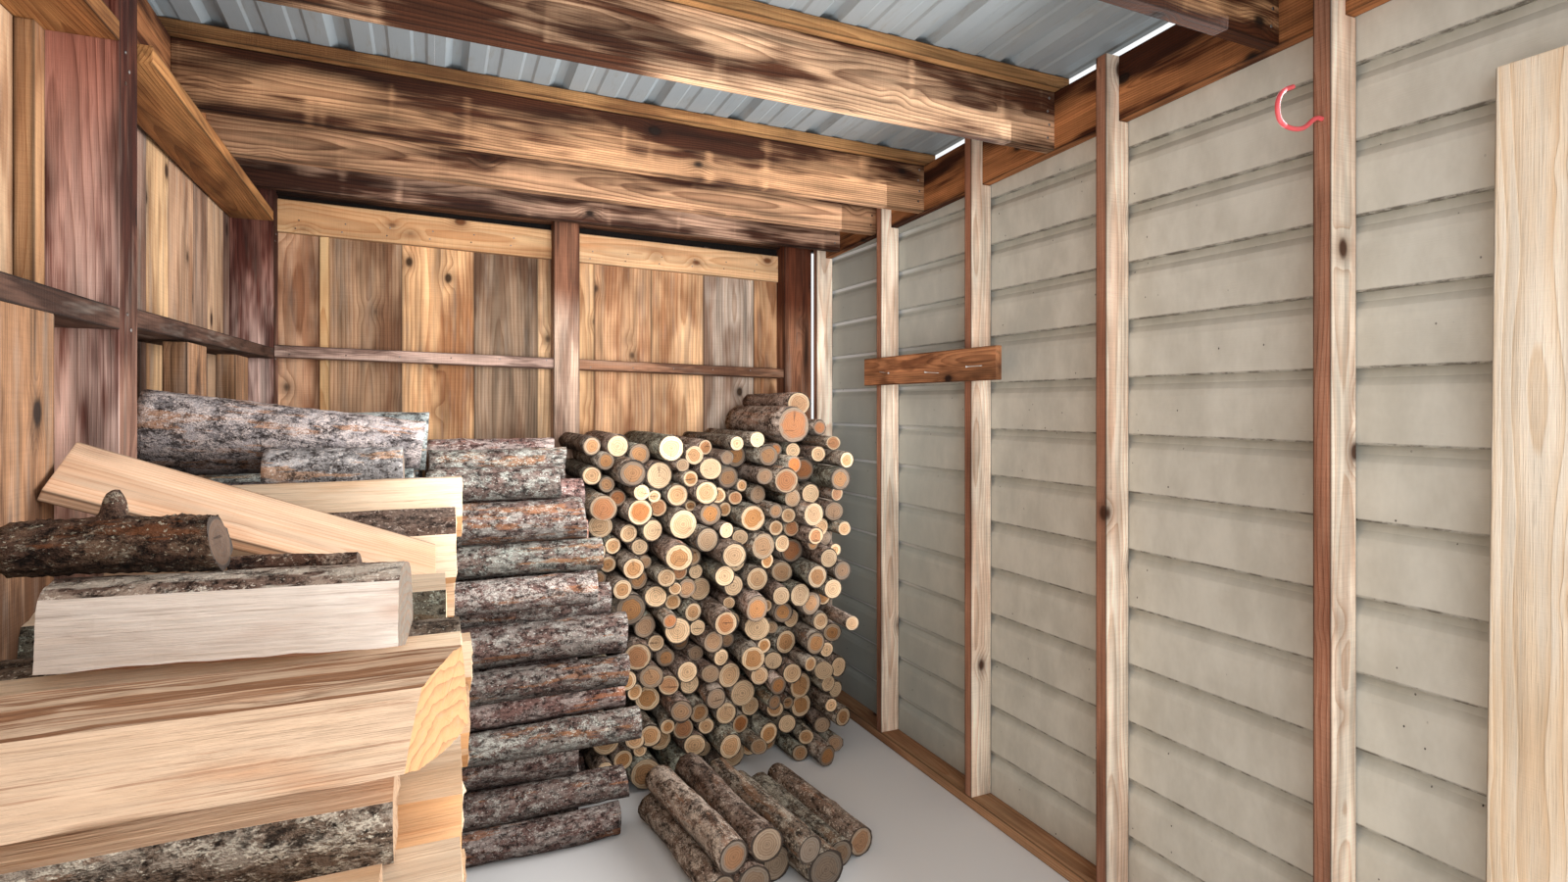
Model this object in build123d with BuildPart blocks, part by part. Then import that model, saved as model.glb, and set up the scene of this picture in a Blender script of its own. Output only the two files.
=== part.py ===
from build123d import *
import os
from math import atan, cos, degrees, pi, radians, sin
from random import Random

import numpy as np

# Lean-to log store built against the lap siding of a neighbouring wall.
# X runs from the board wall on the left to the siding on the right, Y runs
# from the open front to the back, Z is up. All sizes are in millimetres.
# The origin is on the ground, at the middle of the roof and wall in plan.

os.makedirs("parts", exist_ok=True)

# Timber sections
stock = 38
stud_width = 89
plank_width = 140
joist_width = 184
post_width = 140
post_depth = 100
corner_post_width = 146
centre_post_width = 109
board_thickness = 20
batten_thickness = 30
batten_width = 46
liner_thickness = 50
liner_width = 180
liner_gap = 340
liner_to_post = (287, 357)
fit = 0.3

# Plan
inside_width = 2292
stud_bay = 610
stud_bays = 5
stud_to_back_boards = 83
rear_bay = 1609
centre_post_offset = 1030
front_overhang = 150
rear_overhang = 100
post_to_stud_gap = 20

# Party wall and its siding
siding_depth = 16
siding_course = 165.5
siding_courses = 14
siding_start = 21.5
siding_lap = 13
cove_height = 34
cove_neck = 20
party_wall_thickness = 100

# Roof
roof_height = 2487
fall_back = 0.0437
fall_right = 0.0184
sheet_count = 3
ribs_per_sheet = 3
rib_spacing = 304.8
sheet_thickness = 2
rib_height = 19
rib_base = 64
rib_top = 26
minor_rib_height = 4
minor_rib_base = 46
minor_rib_top = 30
first_rib = 61
sheet_edge_lap = 4
strip_overhang = 120

# Rafters, measured from the front face of the front post to their front faces
rafter_places = (756, 1476, 2196, 2565, 2903)

# Rails and trim
rail_height = 41
side_rail_z = 1576
side_rail_rise = 22
girt_below_header = 155
girt_proud = 25
back_rail_height = 46
back_rail_z = 1616
back_rail_fall = 0.0235
trim_height = 130
trim_thickness = 19
trim_below_roof = 286
trim_fall = 0.028
cross_board_height = 116
cross_board_thickness = 25
cross_board_length = 873
cross_board_z = 1517
cross_board_stud = 4
cross_board_past_stud = 62

# Board widths, each list from one corner on; the last board is cut to fit
board_gap = 4
back_board_widths = (142, 172, 270, 275, 256, 171, 70, 260, 252, 256, 256)
side_board_widths = (252, 190, 236, 160, 252, 204, 180, 248, 150, 230, 188, 252, 168, 214, 240, 200)
board_foot = 12
joint_batten_place = 140
joint_batten_width = 36
joint_batten_thickness = 12

# A spare plank stood against the siding, and a coated hook in the second stud
wall_plank_below_roof = 469
wall_plank_place = 210
wall_plank_foot = 3
hook_stud = 1
hook_height = 2047
hook_radius = 5
hook_sides = 8
hook_bend_radius = 12
hook_bends = ((0, 0), (22, 0), (67, -36), (135, -34), (150, 2), (134, 38), (96, 53))

# Firewood: radii are the smallest, the largest and the usual one, and the
# tops are heights at distances from the left or front end of a stack
log_length = 600
log_sides = 8
log_wobble = 0.05
log_unevenness = 30
end_log_radii = (22, 68, 38)
end_stack_left = 20
end_stack_right_gap = 8
end_stack_reach = 110
end_stack_tops = ((0, 700, 812, 1068), (1325, 1335, 1275, 1350))
end_top_logs = ((812, 84), (1000, 36), (912, 56))
cross_log_radii = (44, 88, 60)
cross_stack_depth = 940
cross_stack_height = 1325
cross_stack_gap = 6
cross_reach_heights = (700, 1150)
cross_reach = (110, -75)
corner_log_radii = (74, 112, 94)
corner_log_length = 530
corner_stack_to_post = 69
corner_stack_tops = ((0, 120, 150, 340, 440, 1440), (1180, 1180, 1265, 1275, 1440, 1400))
corner_small_logs = ((65, 60, 198, 292), (635, 36, 84, 373))
butt_log_place = 180
butt_log_radii = (104, 62)
butt_log_past_post = 60
butt_log_length = 582
split_radii = (62, 112, 88)
split_sides = 5
split_wobble = 0.3
split_unevenness = 50
split_lengths = (515, 585)
split_pile_start = 270
split_pile_gap = 20
split_pile_tops = ((0, 300, 400, 696, 856, 936, 1096, 1156, 1341), (1100, 1100, 1050, 1100, 1165, 1100, 1140, 1310, 1320))
front_split_place = 108
front_split_length = 583
front_split_cut = 27
bark_split_place = 554
bark_split_length = 428
bark_split_turn = 8
bark_log_radius = 40
bark_log_length = 240
stick_radius = 14
stick_length = 175
floor_log_radii = (38, 62, 50)
floor_stack_width = 620
floor_stack_gap = 120
floor_stack_tops = ((0, 250, 330, 620), (230, 230, 130, 130))
floor_stack_turn = 7
floor_stack_reach = 60

# A board that lies on the split pile with its left end against the wall: its
# near left corner from the middle post, and the way that its length and width run
board_length = 603
board_width = 150
board_corner = (-351, 1285)
board_run = (0.904, 0.197, -0.380)
board_slope = (0, 0.889, 0.457)

# Places worked out from the sizes above
sheet_width = ribs_per_sheet * rib_spacing
frame_length = stud_bays * stud_bay + stock + stud_to_back_boards
roof_width = sheet_count * sheet_width
overall_width = roof_width - sheet_edge_lap + siding_depth + party_wall_thickness + fit
overall_length = front_overhang + frame_length + board_thickness + rear_overhang
x_house = overall_width / 2 - party_wall_thickness - siding_depth - fit
x_stud = x_house - stud_width
x_header = x_house - stock
x_post = x_stud - inside_width
x_boards = x_post - post_width
x_left_header = x_boards + stock
x_roof = x_house + sheet_edge_lap - roof_width
y_front = front_overhang - overall_length / 2
y_back = y_front + frame_length
y_corner = y_back - post_depth
y_middle = y_corner - rear_bay
y_back_header = y_back - stock
x_centre_post = x_post + centre_post_offset
x_corner_post = x_stud - post_to_stud_gap - corner_post_width
rafter_ys = [y_front + stock + fit] + [y_front + place for place in rafter_places]
cross_front = y_corner - cross_stack_depth


def roof_z(x, y):
    """Height of the plane that the rafters' tops share: it falls to the back and to the right."""
    return roof_height - fall_back * (y - y_front) - fall_right * (x - x_house)


def prism_along_y(corners, y0, y1):
    """Draws an outline in the XZ plane and extrudes it from y0 back to y1."""
    with BuildSketch(Plane.XZ.offset(-y1)) as outline:
        with BuildLine():
            Polyline(*corners, close=True)
        make_face()
    extrude(outline.sketch, amount=y1 - y0)


def prism_along_x(corners, x0, x1):
    """Draws an outline in the YZ plane and extrudes it from x0 across to x1."""
    with BuildSketch(Plane.YZ.offset(x0)) as outline:
        with BuildLine():
            Polyline(*corners, close=True)
        make_face()
    extrude(outline.sketch, amount=x1 - x0)


def prism_along_z(corners, z0, z1):
    """Draws an outline in plan and extrudes it from z0 up to z1."""
    with BuildSketch(Plane.XY.offset(z0)) as outline:
        with BuildLine():
            Polyline(*corners, close=True)
        make_face()
    extrude(outline.sketch, amount=z1 - z0)


def block(x0, x1, y0, y1, z0, z1):
    """An upright cuboid between two opposite corners."""
    prism_along_z([(x0, y0), (x1, y0), (x1, y1), (x0, y1)], z0, z1)


def keep(piece, name):
    """Labels a finished piece and writes it under its name."""
    piece.part.label = name
    export_step(piece.part, f"parts/{name}.step")


def keep_stack(logs, name):
    """Gathers loose pieces of firewood, which don't touch, and writes them under one name."""
    stack = Compound(children=logs)
    stack.label = name
    export_step(stack, f"parts/{name}.step")


girt_z = roof_z(x_left_header, y_middle) - joist_width - girt_below_header


# Headers: one along each side and one along the back, under the roof sheets
with BuildPart() as right_header:
    prism_along_x(
        [
            (y_front, roof_z(x_house, y_front) - fit - joist_width),
            (y_back, roof_z(x_house, y_back) - fit - joist_width),
            (y_back, roof_z(x_house, y_back) - fit),
            (y_front, roof_z(x_house, y_front) - fit),
        ],
        x_header,
        x_house,
    )
keep(right_header, "right_header")

with BuildPart() as left_header:
    prism_along_x(
        [
            (y_front, roof_z(x_left_header, y_front) - fit - joist_width),
            (y_back, roof_z(x_left_header, y_back) - fit - joist_width),
            (y_back, roof_z(x_left_header, y_back) - fit),
            (y_front, roof_z(x_left_header, y_front) - fit),
        ],
        x_boards,
        x_left_header,
    )
keep(left_header, "left_header")

with BuildPart() as back_header:
    prism_along_y(
        [
            (x_left_header + fit, roof_z(x_left_header, y_back) - fit - plank_width),
            (x_header - fit, roof_z(x_header, y_back) - fit - plank_width),
            (x_header - fit, roof_z(x_header, y_back) - fit),
            (x_left_header + fit, roof_z(x_left_header, y_back) - fit),
        ],
        y_back_header,
        y_back,
    )
keep(back_header, "back_header")


def post(x0, x1, y0, side_notch, back_notch):
    """A post up to the roof, notched on its outer side and at its back for the headers."""
    y1 = y0 + post_depth
    top0 = roof_z(x0, y1) - fit
    top1 = roof_z(x1, y1) - fit
    prism_along_y([(x0, 0), (x1, 0), (x1, top1), (x0, top0)], y0, y1)
    above = roof_height + joist_width
    if side_notch:
        seat = roof_z(x_left_header, y1) - fit - joist_width - fit
        with BuildSketch(Plane.XY.offset(seat)) as side_cut:
            with Locations((x0, y0)):
                Rectangle(stock + fit, post_depth, align=(Align.MIN, Align.MIN))
        extrude(side_cut.sketch, amount=above, mode=Mode.SUBTRACT)
    if back_notch:
        seat = roof_z(x1, y_back) - fit - plank_width - fit
        with BuildSketch(Plane.XY.offset(seat)) as back_cut:
            with Locations((x0, y1)):
                Rectangle(x1 - x0, stock + fit, align=(Align.MIN, Align.MAX))
        extrude(back_cut.sketch, amount=above, mode=Mode.SUBTRACT)


with BuildPart() as left_post_front:
    post(x_boards, x_post, y_front, True, False)
keep(left_post_front, "left_post_front")

with BuildPart() as left_post_middle:
    post(x_boards, x_post, y_middle, True, False)
keep(left_post_middle, "left_post_middle")

with BuildPart() as left_post_rear:
    post(x_boards, x_post, y_corner, True, True)
keep(left_post_rear, "left_post_rear")

with BuildPart() as back_post_centre:
    post(x_centre_post, x_centre_post + centre_post_width, y_corner, False, True)
keep(back_post_centre, "back_post_centre")

with BuildPart() as back_post_right:
    post(x_corner_post, x_corner_post + corner_post_width, y_corner, False, True)
keep(back_post_right, "back_post_right")

# Studs on the right: the outer part stops under the header, the inner part runs up beside it
with BuildPart() as right_sill:
    block(x_stud, x_house, y_front, y_front + stud_bays * stud_bay + stock, 0, stock)
keep(right_sill, "right_sill")

for number in range(stud_bays + 1):
    y0 = y_front + number * stud_bay
    y1 = y0 + stock
    top = roof_z(x_header, y1) - fit
    shoulder = roof_z(x_house, y1) - fit - joist_width - fit
    with BuildPart() as wall_stud:
        prism_along_y(
            [
                (x_stud, stock),
                (x_house, stock),
                (x_house, shoulder),
                (x_header - fit, shoulder),
                (x_header - fit, top),
                (x_stud, top),
            ],
            y0,
            y1,
        )
    keep(wall_stud, f"wall_stud_{number + 1}")

# Rafters between the side headers, with a flat strip on each under the sheets
for number, y0 in enumerate(rafter_ys):
    y1 = y0 + stock
    beside_post = any(y0 < y_p + post_depth and y1 > y_p for y_p in (y_front, y_middle))
    x0 = (x_post if beside_post else x_left_header) + fit
    x1 = x_header - fit
    with BuildPart() as rafter:
        prism_along_y(
            [
                (x0, roof_z(x0, y1) - fit - joist_width),
                (x1, roof_z(x1, y1) - fit - joist_width),
                (x1, roof_z(x1, y1) - fit),
                (x0, roof_z(x0, y1) - fit),
            ],
            y0,
            y1,
        )
    keep(rafter, f"rafter_{number + 1}")

strip_left = x_boards - strip_overhang
for number, y0 in enumerate(rafter_ys + [y_back_header]):
    strip_front = y0 + stock / 2 - stud_width / 2
    strip_plane = Plane(
        origin=(strip_left, strip_front, roof_z(strip_left, strip_front)),
        x_dir=(1, 0, -fall_right),
        z_dir=(fall_right, fall_back, 1),
    )
    with BuildPart() as strip:
        with BuildSketch(strip_plane):
            Rectangle(x_house - strip_left, stud_width, align=(Align.MIN, Align.MIN))
        extrude(amount=stock)
    keep(strip, f"rafter_strip_{number + 1}")

# Roof sheets: ribs run front to back, two low ribs between each pair of high ones
roof_front = -overall_length / 2
sheet_length = overall_length / cos(atan(fall_back))
roof_plane = Plane(
    origin=(x_roof, roof_front, roof_z(x_roof, roof_front) + stock + fit),
    x_dir=(1, 0, -fall_right),
    z_dir=(fall_right, fall_back, 1),
)
cross_plane = Plane(origin=roof_plane.origin, x_dir=roof_plane.x_dir, z_dir=-roof_plane.y_dir)


def rib(centre, base, top, height):
    """The four corners of one rib in the sheet's cross section."""
    return [
        (centre - base / 2, 0),
        (centre - top / 2, height),
        (centre + top / 2, height),
        (centre + base / 2, 0),
    ]


def sheet_outline(start):
    """Closed cross section of one ribbed sheet that starts at the given width."""
    lower = [(start, 0)]
    for step in range(ribs_per_sheet):
        high = start + first_rib + step * rib_spacing
        lower += rib(high, rib_base, rib_top, rib_height)
        lower += rib(high + rib_spacing / 3, minor_rib_base, minor_rib_top, minor_rib_height)
        lower += rib(high + 2 * rib_spacing / 3, minor_rib_base, minor_rib_top, minor_rib_height)
    lower.append((start + sheet_width - fit, 0))
    upper = [(across, up + sheet_thickness) for across, up in reversed(lower)]
    return lower + upper


for number in range(sheet_count):
    with BuildPart() as roof_sheet:
        with BuildSketch(cross_plane) as section:
            with BuildLine():
                Polyline(*sheet_outline(number * sheet_width), close=True)
            make_face()
        extrude(amount=-sheet_length)
    keep(roof_sheet, f"roof_sheet_{number + 1}")

# Back wall: boards, rails between the posts and a trim board at the top of each bay


def board_spans(start, end, widths):
    """Start and end of each board along a wall; the last one is cut to what is left."""
    spans = []
    place = start
    for width in widths:
        if place + board_gap < end:
            spans.append((place, min(place + width, end)))
        place += width + board_gap
    return spans


back_board_end = x_corner_post + corner_post_width
with BuildPart() as back_boards:
    for x0, x1 in board_spans(x_boards - board_thickness, back_board_end, back_board_widths):
        top0 = roof_z(x0, y_back + board_thickness) - fit
        top1 = roof_z(x1, y_back + board_thickness) - fit
        prism_along_y(
            [(x0, board_foot), (x1, board_foot), (x1, top1), (x0, top0)],
            y_back,
            y_back + board_thickness,
        )
keep(back_boards, "back_boards")

back_bays = (
    ("left", x_post, x_centre_post),
    ("right", x_centre_post + centre_post_width, x_corner_post),
)
for side, x0, x1 in back_bays:
    low0 = back_rail_z - back_rail_fall * (x0 - x_post)
    low1 = back_rail_z - back_rail_fall * (x1 - x_post)
    with BuildPart() as back_rail:
        prism_along_y(
            [(x0, low0), (x1, low1), (x1, low1 + back_rail_height), (x0, low0 + back_rail_height)],
            y_corner + post_depth - stud_width,
            y_back,
        )
    keep(back_rail, f"back_rail_{side}")

    trim0 = roof_z(x_post, y_back) - trim_below_roof - trim_fall * (x0 - x_post)
    trim1 = trim0 - trim_fall * (x1 - x0)
    with BuildPart() as back_trim:
        prism_along_y(
            [(x0, trim0), (x1, trim1), (x1, trim1 + trim_height), (x0, trim0 + trim_height)],
            y_back - trim_thickness,
            y_back,
        )
    keep(back_trim, f"back_trim_{side}")

# A batten over a joint between two back boards, cut round the rail
batten_x0 = x_post + joint_batten_place
batten_x1 = batten_x0 + joint_batten_width
batten_rail = back_rail_z - back_rail_fall * joint_batten_place
batten_trim = roof_z(x_post, y_back) - trim_below_roof - trim_fall * (batten_x1 - x_post)
with BuildPart() as joint_batten:
    for low, high in (
        (board_foot, batten_rail - back_rail_fall * joint_batten_width - fit),
        (batten_rail + back_rail_height + fit, batten_trim - fit),
    ):
        block(batten_x0, batten_x1, y_back - joint_batten_thickness, y_back, low, high)
keep(joint_batten, "joint_batten")

# Left wall: boards, a mid rail and a top girt in each bay, liner planks under the rail
side_spans = board_spans(y_front, y_back, side_board_widths)
bay_split = y_middle + post_depth / 2
for bay, low, high in (("front", y_front, bay_split), ("rear", bay_split, y_back)):
    with BuildPart() as side_boards:
        for y0, y1 in side_spans:
            if low <= (y0 + y1) / 2 < high:
                prism_along_x(
                    [
                        (y0, board_foot),
                        (y1, board_foot),
                        (y1, roof_z(x_boards, y1) - fit),
                        (y0, roof_z(x_boards, y0) - fit),
                    ],
                    x_boards - board_thickness,
                    x_boards,
                )
    keep(side_boards, f"left_boards_{bay}")

side_bays = (
    ("front", y_front + post_depth, y_middle, 0),
    ("rear", y_middle + post_depth, y_corner, side_rail_rise),
)
for bay, y0, y1, rise in side_bays:
    rail0 = side_rail_z + rise / 2
    rail1 = rail0 + rise
    with BuildPart() as side_rail:
        prism_along_x(
            [(y0, rail0), (y1, rail1), (y1, rail1 + rail_height), (y0, rail0 + rail_height)],
            x_boards,
            x_post,
        )
    keep(side_rail, f"left_rail_{bay}")

    with BuildPart() as side_girt:
        proud = girt_proud if rise else 0
        prism_along_z(
            [
                (x_boards + proud, y0),
                (x_post + proud, y0),
                (x_post, y1),
                (x_boards, y1),
            ],
            girt_z,
            girt_z + stock,
        )
    keep(side_girt, f"left_girt_{bay}")

# The batten in the corner of the front bay, between the rail and the girt and below the rail
with BuildPart() as left_batten:
    for low, high in (
        (0, side_rail_z - fit),
        (side_rail_z + rail_height + fit, girt_z - fit),
    ):
        block(x_boards, x_boards + batten_thickness, y_middle - batten_width, y_middle, low, high)
keep(left_batten, "left_batten")

liner_front_end = y_middle - liner_to_post[0]
liner_rear_start = y_middle + post_depth + liner_to_post[1]
liner_runs = (
    ("front", [liner_front_end - liner_width - step * (liner_width + liner_gap) for step in (0, 1)], 0),
    ("rear", [liner_rear_start + step * (liner_width + liner_gap) for step in (0, 1)], side_rail_rise),
)
for bay, starts, rise in liner_runs:
    rail_low = side_rail_z + rise / 2 - fit
    with BuildPart() as liner:
        for y0 in starts:
            block(x_post - liner_thickness, x_post, y0, y0 + liner_width, 0, rail_low)
    keep(liner, f"left_liner_{bay}")

# Right wall: lap siding on a plain party wall, and a board nailed across two studs


def siding_outline():
    """Closed cross section of the siding: each course has a flat face and a cove above it."""
    face = x_house + fit
    neck = face + siding_lap
    points = [(face + siding_depth, siding_start)]
    for course in range(siding_courses):
        low = siding_start + course * siding_course
        cove_start = low + siding_course - cove_neck - cove_height
        points += [
            (face, low),
            (face, cove_start),
            (face + siding_lap / 4, cove_start + cove_height / 2),
            (neck, cove_start + cove_height),
            (neck, low + siding_course),
        ]
    points.append((face + siding_depth, siding_start + siding_courses * siding_course))
    return points


with BuildPart() as siding:
    prism_along_y(siding_outline(), y_front, y_back)
keep(siding, "siding")

siding_top = siding_start + siding_courses * siding_course
with BuildPart() as party_wall:
    block(overall_width / 2 - party_wall_thickness, overall_width / 2, y_front, y_back, 0, siding_top)
keep(party_wall, "party_wall")

cross_board_end = y_front + cross_board_stud * stud_bay + stock + cross_board_past_stud
with BuildPart() as cross_board:
    block(
        x_stud - cross_board_thickness,
        x_stud,
        cross_board_end - cross_board_length,
        cross_board_end,
        cross_board_z,
        cross_board_z + cross_board_height,
    )
keep(cross_board, "cross_board")

# The spare plank stands on the sill and leans on the siding
wall_plank_length = roof_height - wall_plank_below_roof
plank_foot_x = x_stud + wall_plank_foot + stock
plank_lean = (x_house - plank_foot_x) / wall_plank_length
plank_across = np.array([-cos(plank_lean), sin(plank_lean)]) * stock
plank_up = np.array([sin(plank_lean), cos(plank_lean)]) * wall_plank_length
plank_foot = np.array([plank_foot_x, stock + fit])
plank_corners = [plank_foot, plank_foot + plank_up, plank_foot + plank_up + plank_across, plank_foot + plank_across]
with BuildPart() as wall_plank:
    plank_y = y_front + wall_plank_place
    prism_along_y([tuple(corner) for corner in plank_corners], plank_y, plank_y + plank_width)
keep(wall_plank, "wall_plank")

hook_y = y_front + hook_stud * stud_bay + stock / 2
with BuildPart() as wall_hook:
    with BuildLine(Plane.XZ.offset(-hook_y)) as hook_path:
        hook_points = [(x_stud - fit - out, hook_height + up) for out, up in hook_bends]
        FilletPolyline(*hook_points, radius=hook_bend_radius)
    with BuildSketch(Plane(origin=hook_path.line @ 0, z_dir=hook_path.line % 0)):
        RegularPolygon(hook_radius, hook_sides)
    sweep(path=hook_path.line)
keep(wall_hook, "wall_hook")


# Firewood: each piece is let down where it comes to lie lowest on those below it


def log_outline(radius, sides, wobble, chance):
    """A convex, slightly uneven outline about its centre, counter-clockwise."""
    turn = chance.uniform(0, 2 * pi)
    return [
        (
            radius * (1 - wobble * chance.random()) * cos(turn + 2 * pi * side / sides),
            radius * (1 - wobble * chance.random()) * sin(turn + 2 * pi * side / sides),
        )
        for side in range(sides)
    ]


def lower_and_upper(outline):
    """The underside and the top of a convex outline, each from left to right."""
    first = min(range(len(outline)), key=lambda i: outline[i][0])
    ring = outline[first:] + outline[:first]
    last = max(range(len(ring)), key=lambda i: ring[i][0])
    return np.array(ring[: last + 1]), np.array(ring[last:] + ring[:1])[::-1]


def resting_height(lower, across, placed):
    """Height of a piece's centre when it is let down on what lies below it."""
    height = -lower[:, 1].min()
    own = lower[:, 0] + across
    for upper in placed:
        left = max(own[0], upper[0, 0])
        right = min(own[-1], upper[-1, 0])
        if left < right:
            checks = np.concatenate([own, upper[:, 0], [left, right]])
            checks = checks[(checks >= left) & (checks <= right)]
            lift = np.interp(checks, upper[:, 0], upper[:, 1]) - np.interp(checks, own, lower[:, 1])
            height = max(height, lift.max() + fit)
    return height


def stack_section(width, tops, radii, sides, wobble, seed):
    """Outlines of pieces stacked between two walls, up to a line of top heights."""
    chance = Random(seed)
    outlines = []
    uppers = []
    misses = 0
    lean = 0.002
    while misses < 8:
        radius = chance.triangular(*radii)
        outline = log_outline(radius, sides, wobble, chance)
        lower, upper = lower_and_upper(outline)
        start = -lower[0, 0] + fit
        end = width - lower[-1, 0] - fit
        step = (end - start) / 90
        candidates = np.linspace(start, end, 91)
        best = None
        for finer in range(3):
            trials = []
            for across in np.clip(candidates, start, end):
                near = [top for top in uppers if abs((top[0, 0] + top[-1, 0]) / 2 - across) < 2.2 * radii[1]]
                up = resting_height(lower, across, near)
                if up + radius < np.interp(across, *tops):
                    trials.append((up + lean * across, across, up))
            if trials:
                best = min(trials)[1:]
                candidates = np.linspace(best[0] - step, best[0] + step, 25)
                step = step / 12
        if best is None:
            misses += 1
        else:
            across, up = best
            outlines.append([(x + across, z + up) for x, z in outline])
            uppers.append(upper + np.array([across, up]))
    return outlines


def let_down(outline, across, below, slide=0):
    """Outline of one more piece, let down at a place on the pieces below it.

    A piece that is turned on the pile passes over a wider strip of it, given by slide.
    """
    lower = lower_and_upper(outline)[0]
    uppers = [lower_and_upper(piece)[1] for piece in below]
    strip = np.linspace(across, across + slide, 9 if slide else 1)
    up = max(resting_height(lower, place, uppers) for place in strip)
    return [(x + across, z + up) for x, z in outline]


def log_from(plane, corners, length):
    """One piece: its outline in a plane, extruded by its length along the plane's normal."""
    with BuildPart() as log:
        with BuildSketch(plane):
            with BuildLine():
                Polyline(*corners, close=True)
            make_face()
        extrude(amount=length)
    return log.part.solid()


def turned(x, y, turn):
    """A plane across the X direction, turned about the vertical; its outlines are in Y and Z."""
    swing = radians(turn)
    return Plane(origin=(x, y, 0), x_dir=(sin(swing), cos(swing), 0), z_dir=(cos(swing), -sin(swing), 0))


# Round logs with their ends to the front, between the centre post and the corner post
end_stack_x = x_centre_post + end_stack_left
end_stack_width = x_corner_post - end_stack_right_gap - end_stack_x
end_logs = stack_section(end_stack_width, end_stack_tops, end_log_radii, log_sides, log_wobble, 11)
end_chance = Random(5)
for across, radius in end_top_logs:
    end_logs.append(let_down(log_outline(radius, log_sides, log_wobble, end_chance), across, end_logs))
end_plane = Plane(origin=(end_stack_x, y_corner - fit, 0), x_dir=(1, 0, 0), z_dir=(0, -1, 0))
end_solids = []
for outline in end_logs:
    length = log_length + end_chance.uniform(-log_unevenness, 0)
    forward = max(0, end_chance.uniform(-log_unevenness, end_stack_reach))
    end_solids.append(log_from(end_plane.offset(forward), outline, length))
keep_stack(end_solids, "log_stack_ends")

# Logs laid across, behind the middle of the store, up against the rear stack
cross_left = x_post + corner_log_length + cross_stack_gap
cross_plane = turned(cross_left, cross_front, 0)
cross_tops = ((0, cross_stack_depth), (cross_stack_height, cross_stack_height))
cross_logs = stack_section(cross_stack_depth - fit, cross_tops, cross_log_radii, log_sides, log_wobble, 3)
cross_chance = Random(3)
cross_solids = []
for outline in cross_logs:
    middle = sum(z for y, z in outline) / log_sides
    reach = np.interp(middle, cross_reach_heights, cross_reach)
    if max(y for y, z in outline) > cross_stack_depth - log_length - end_stack_reach - log_unevenness:
        reach = min(reach, -cross_stack_gap)
    right = end_stack_x + reach - cross_chance.uniform(0, log_unevenness)
    cross_solids.append(log_from(cross_plane, outline, right - cross_left))
keep_stack(cross_solids, "log_stack_cross")

# Thick logs in the rear left corner, with a butt log and two small ones on top
corner_front = y_middle + post_depth + corner_stack_to_post
corner_plane = turned(x_post + fit, corner_front, 0)
corner_width = y_corner - corner_front - fit
corner_logs = stack_section(corner_width, corner_stack_tops, corner_log_radii, log_sides, log_wobble, 8)
corner_chance = Random(8)
corner_solids = []
for outline in corner_logs:
    length = corner_log_length - fit - corner_chance.uniform(0, log_unevenness)
    corner_solids.append(log_from(corner_plane, outline, length))
small_logs = []
for across, radius, start, length in corner_small_logs:
    outline = let_down(log_outline(radius, log_sides, log_wobble, corner_chance), across, corner_logs)
    small_logs.append(outline)
    corner_solids.append(log_from(corner_plane.offset(start), outline, length))

# The butt log tapers to the right, with its underside level on the stack and the first small log
butt_ring = log_outline(1, log_sides, 0, corner_chance)
butt_low = min(z for y, z in butt_ring)


def butt_section(radius, foot):
    """The butt log's outline at one place along it, with its lowest point at a height."""
    return [(butt_log_place + radius * y, foot + radius * (z - butt_low)) for y, z in butt_ring]


def butt_foot_on(radius, below):
    """Height of the butt log's underside where a section of it meets the logs below."""
    own = [(radius * y, radius * z) for y, z in butt_ring]
    return min(z for y, z in let_down(own, butt_log_place, below))


thick, thin = butt_log_radii
small_start = (butt_log_past_post + corner_small_logs[0][2]) / butt_log_length
foot_on_stack = butt_foot_on(thick, corner_logs)
foot_on_small = butt_foot_on(thick + (thin - thick) * small_start, small_logs[:1])
butt_foot = max(foot_on_stack, foot_on_small)
with BuildPart() as butt_log:
    for radius, offset in ((thick, -butt_log_past_post), (thin, butt_log_length - butt_log_past_post)):
        with BuildSketch(corner_plane.offset(offset)):
            with BuildLine():
                Polyline(*butt_section(radius, butt_foot), close=True)
            make_face()
    loft(ruled=True)
corner_solids.append(butt_log.part.solid())
keep_stack(corner_solids, "log_stack_corner")

# Split wood along the left wall, its ends to the middle of the store
split_y = y_front + split_pile_start
split_pile_depth = corner_front - split_pile_gap - split_y
split_plane = turned(x_post + fit, split_y, 0)
split_pieces = stack_section(split_pile_depth, split_pile_tops, split_radii, split_sides, split_wobble, 21)
split_chance = Random(9)
split_solids = []
split_ends = []
for outline in split_pieces:
    share = sum(y for y, z in outline) / split_sides / split_pile_depth
    length = np.interp(share, (0, 1), split_lengths) + split_chance.uniform(-split_unevenness, split_unevenness)
    split_ends.append(x_post + fit + length)
    split_solids.append(log_from(split_plane, outline, length))
keep_stack(split_solids, "split_pile")

# Two large splits on top: one with a slanting cut at its end, one with its bark up
front_split_outline = [(0, 14), (70, 0), (122, 10), (108, 106), (30, 88)]
bark_split_outline = [(0, 12), (60, 0), (128, 20), (118, 92), (66, 128), (8, 110)]
front_outline = let_down(front_split_outline, front_split_place, split_pieces)
front_cut = Plane(
    origin=(x_post + front_split_length, split_y + front_outline[2][0], 0),
    z_dir=(cos(radians(front_split_cut)), -sin(radians(front_split_cut)), 0),
)
with BuildPart() as front_split:
    with BuildSketch(split_plane):
        with BuildLine():
            Polyline(*front_outline, close=True)
        make_face()
    extrude(amount=front_split_length)
    split(bisect_by=front_cut, keep=Keep.BOTTOM)

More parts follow.
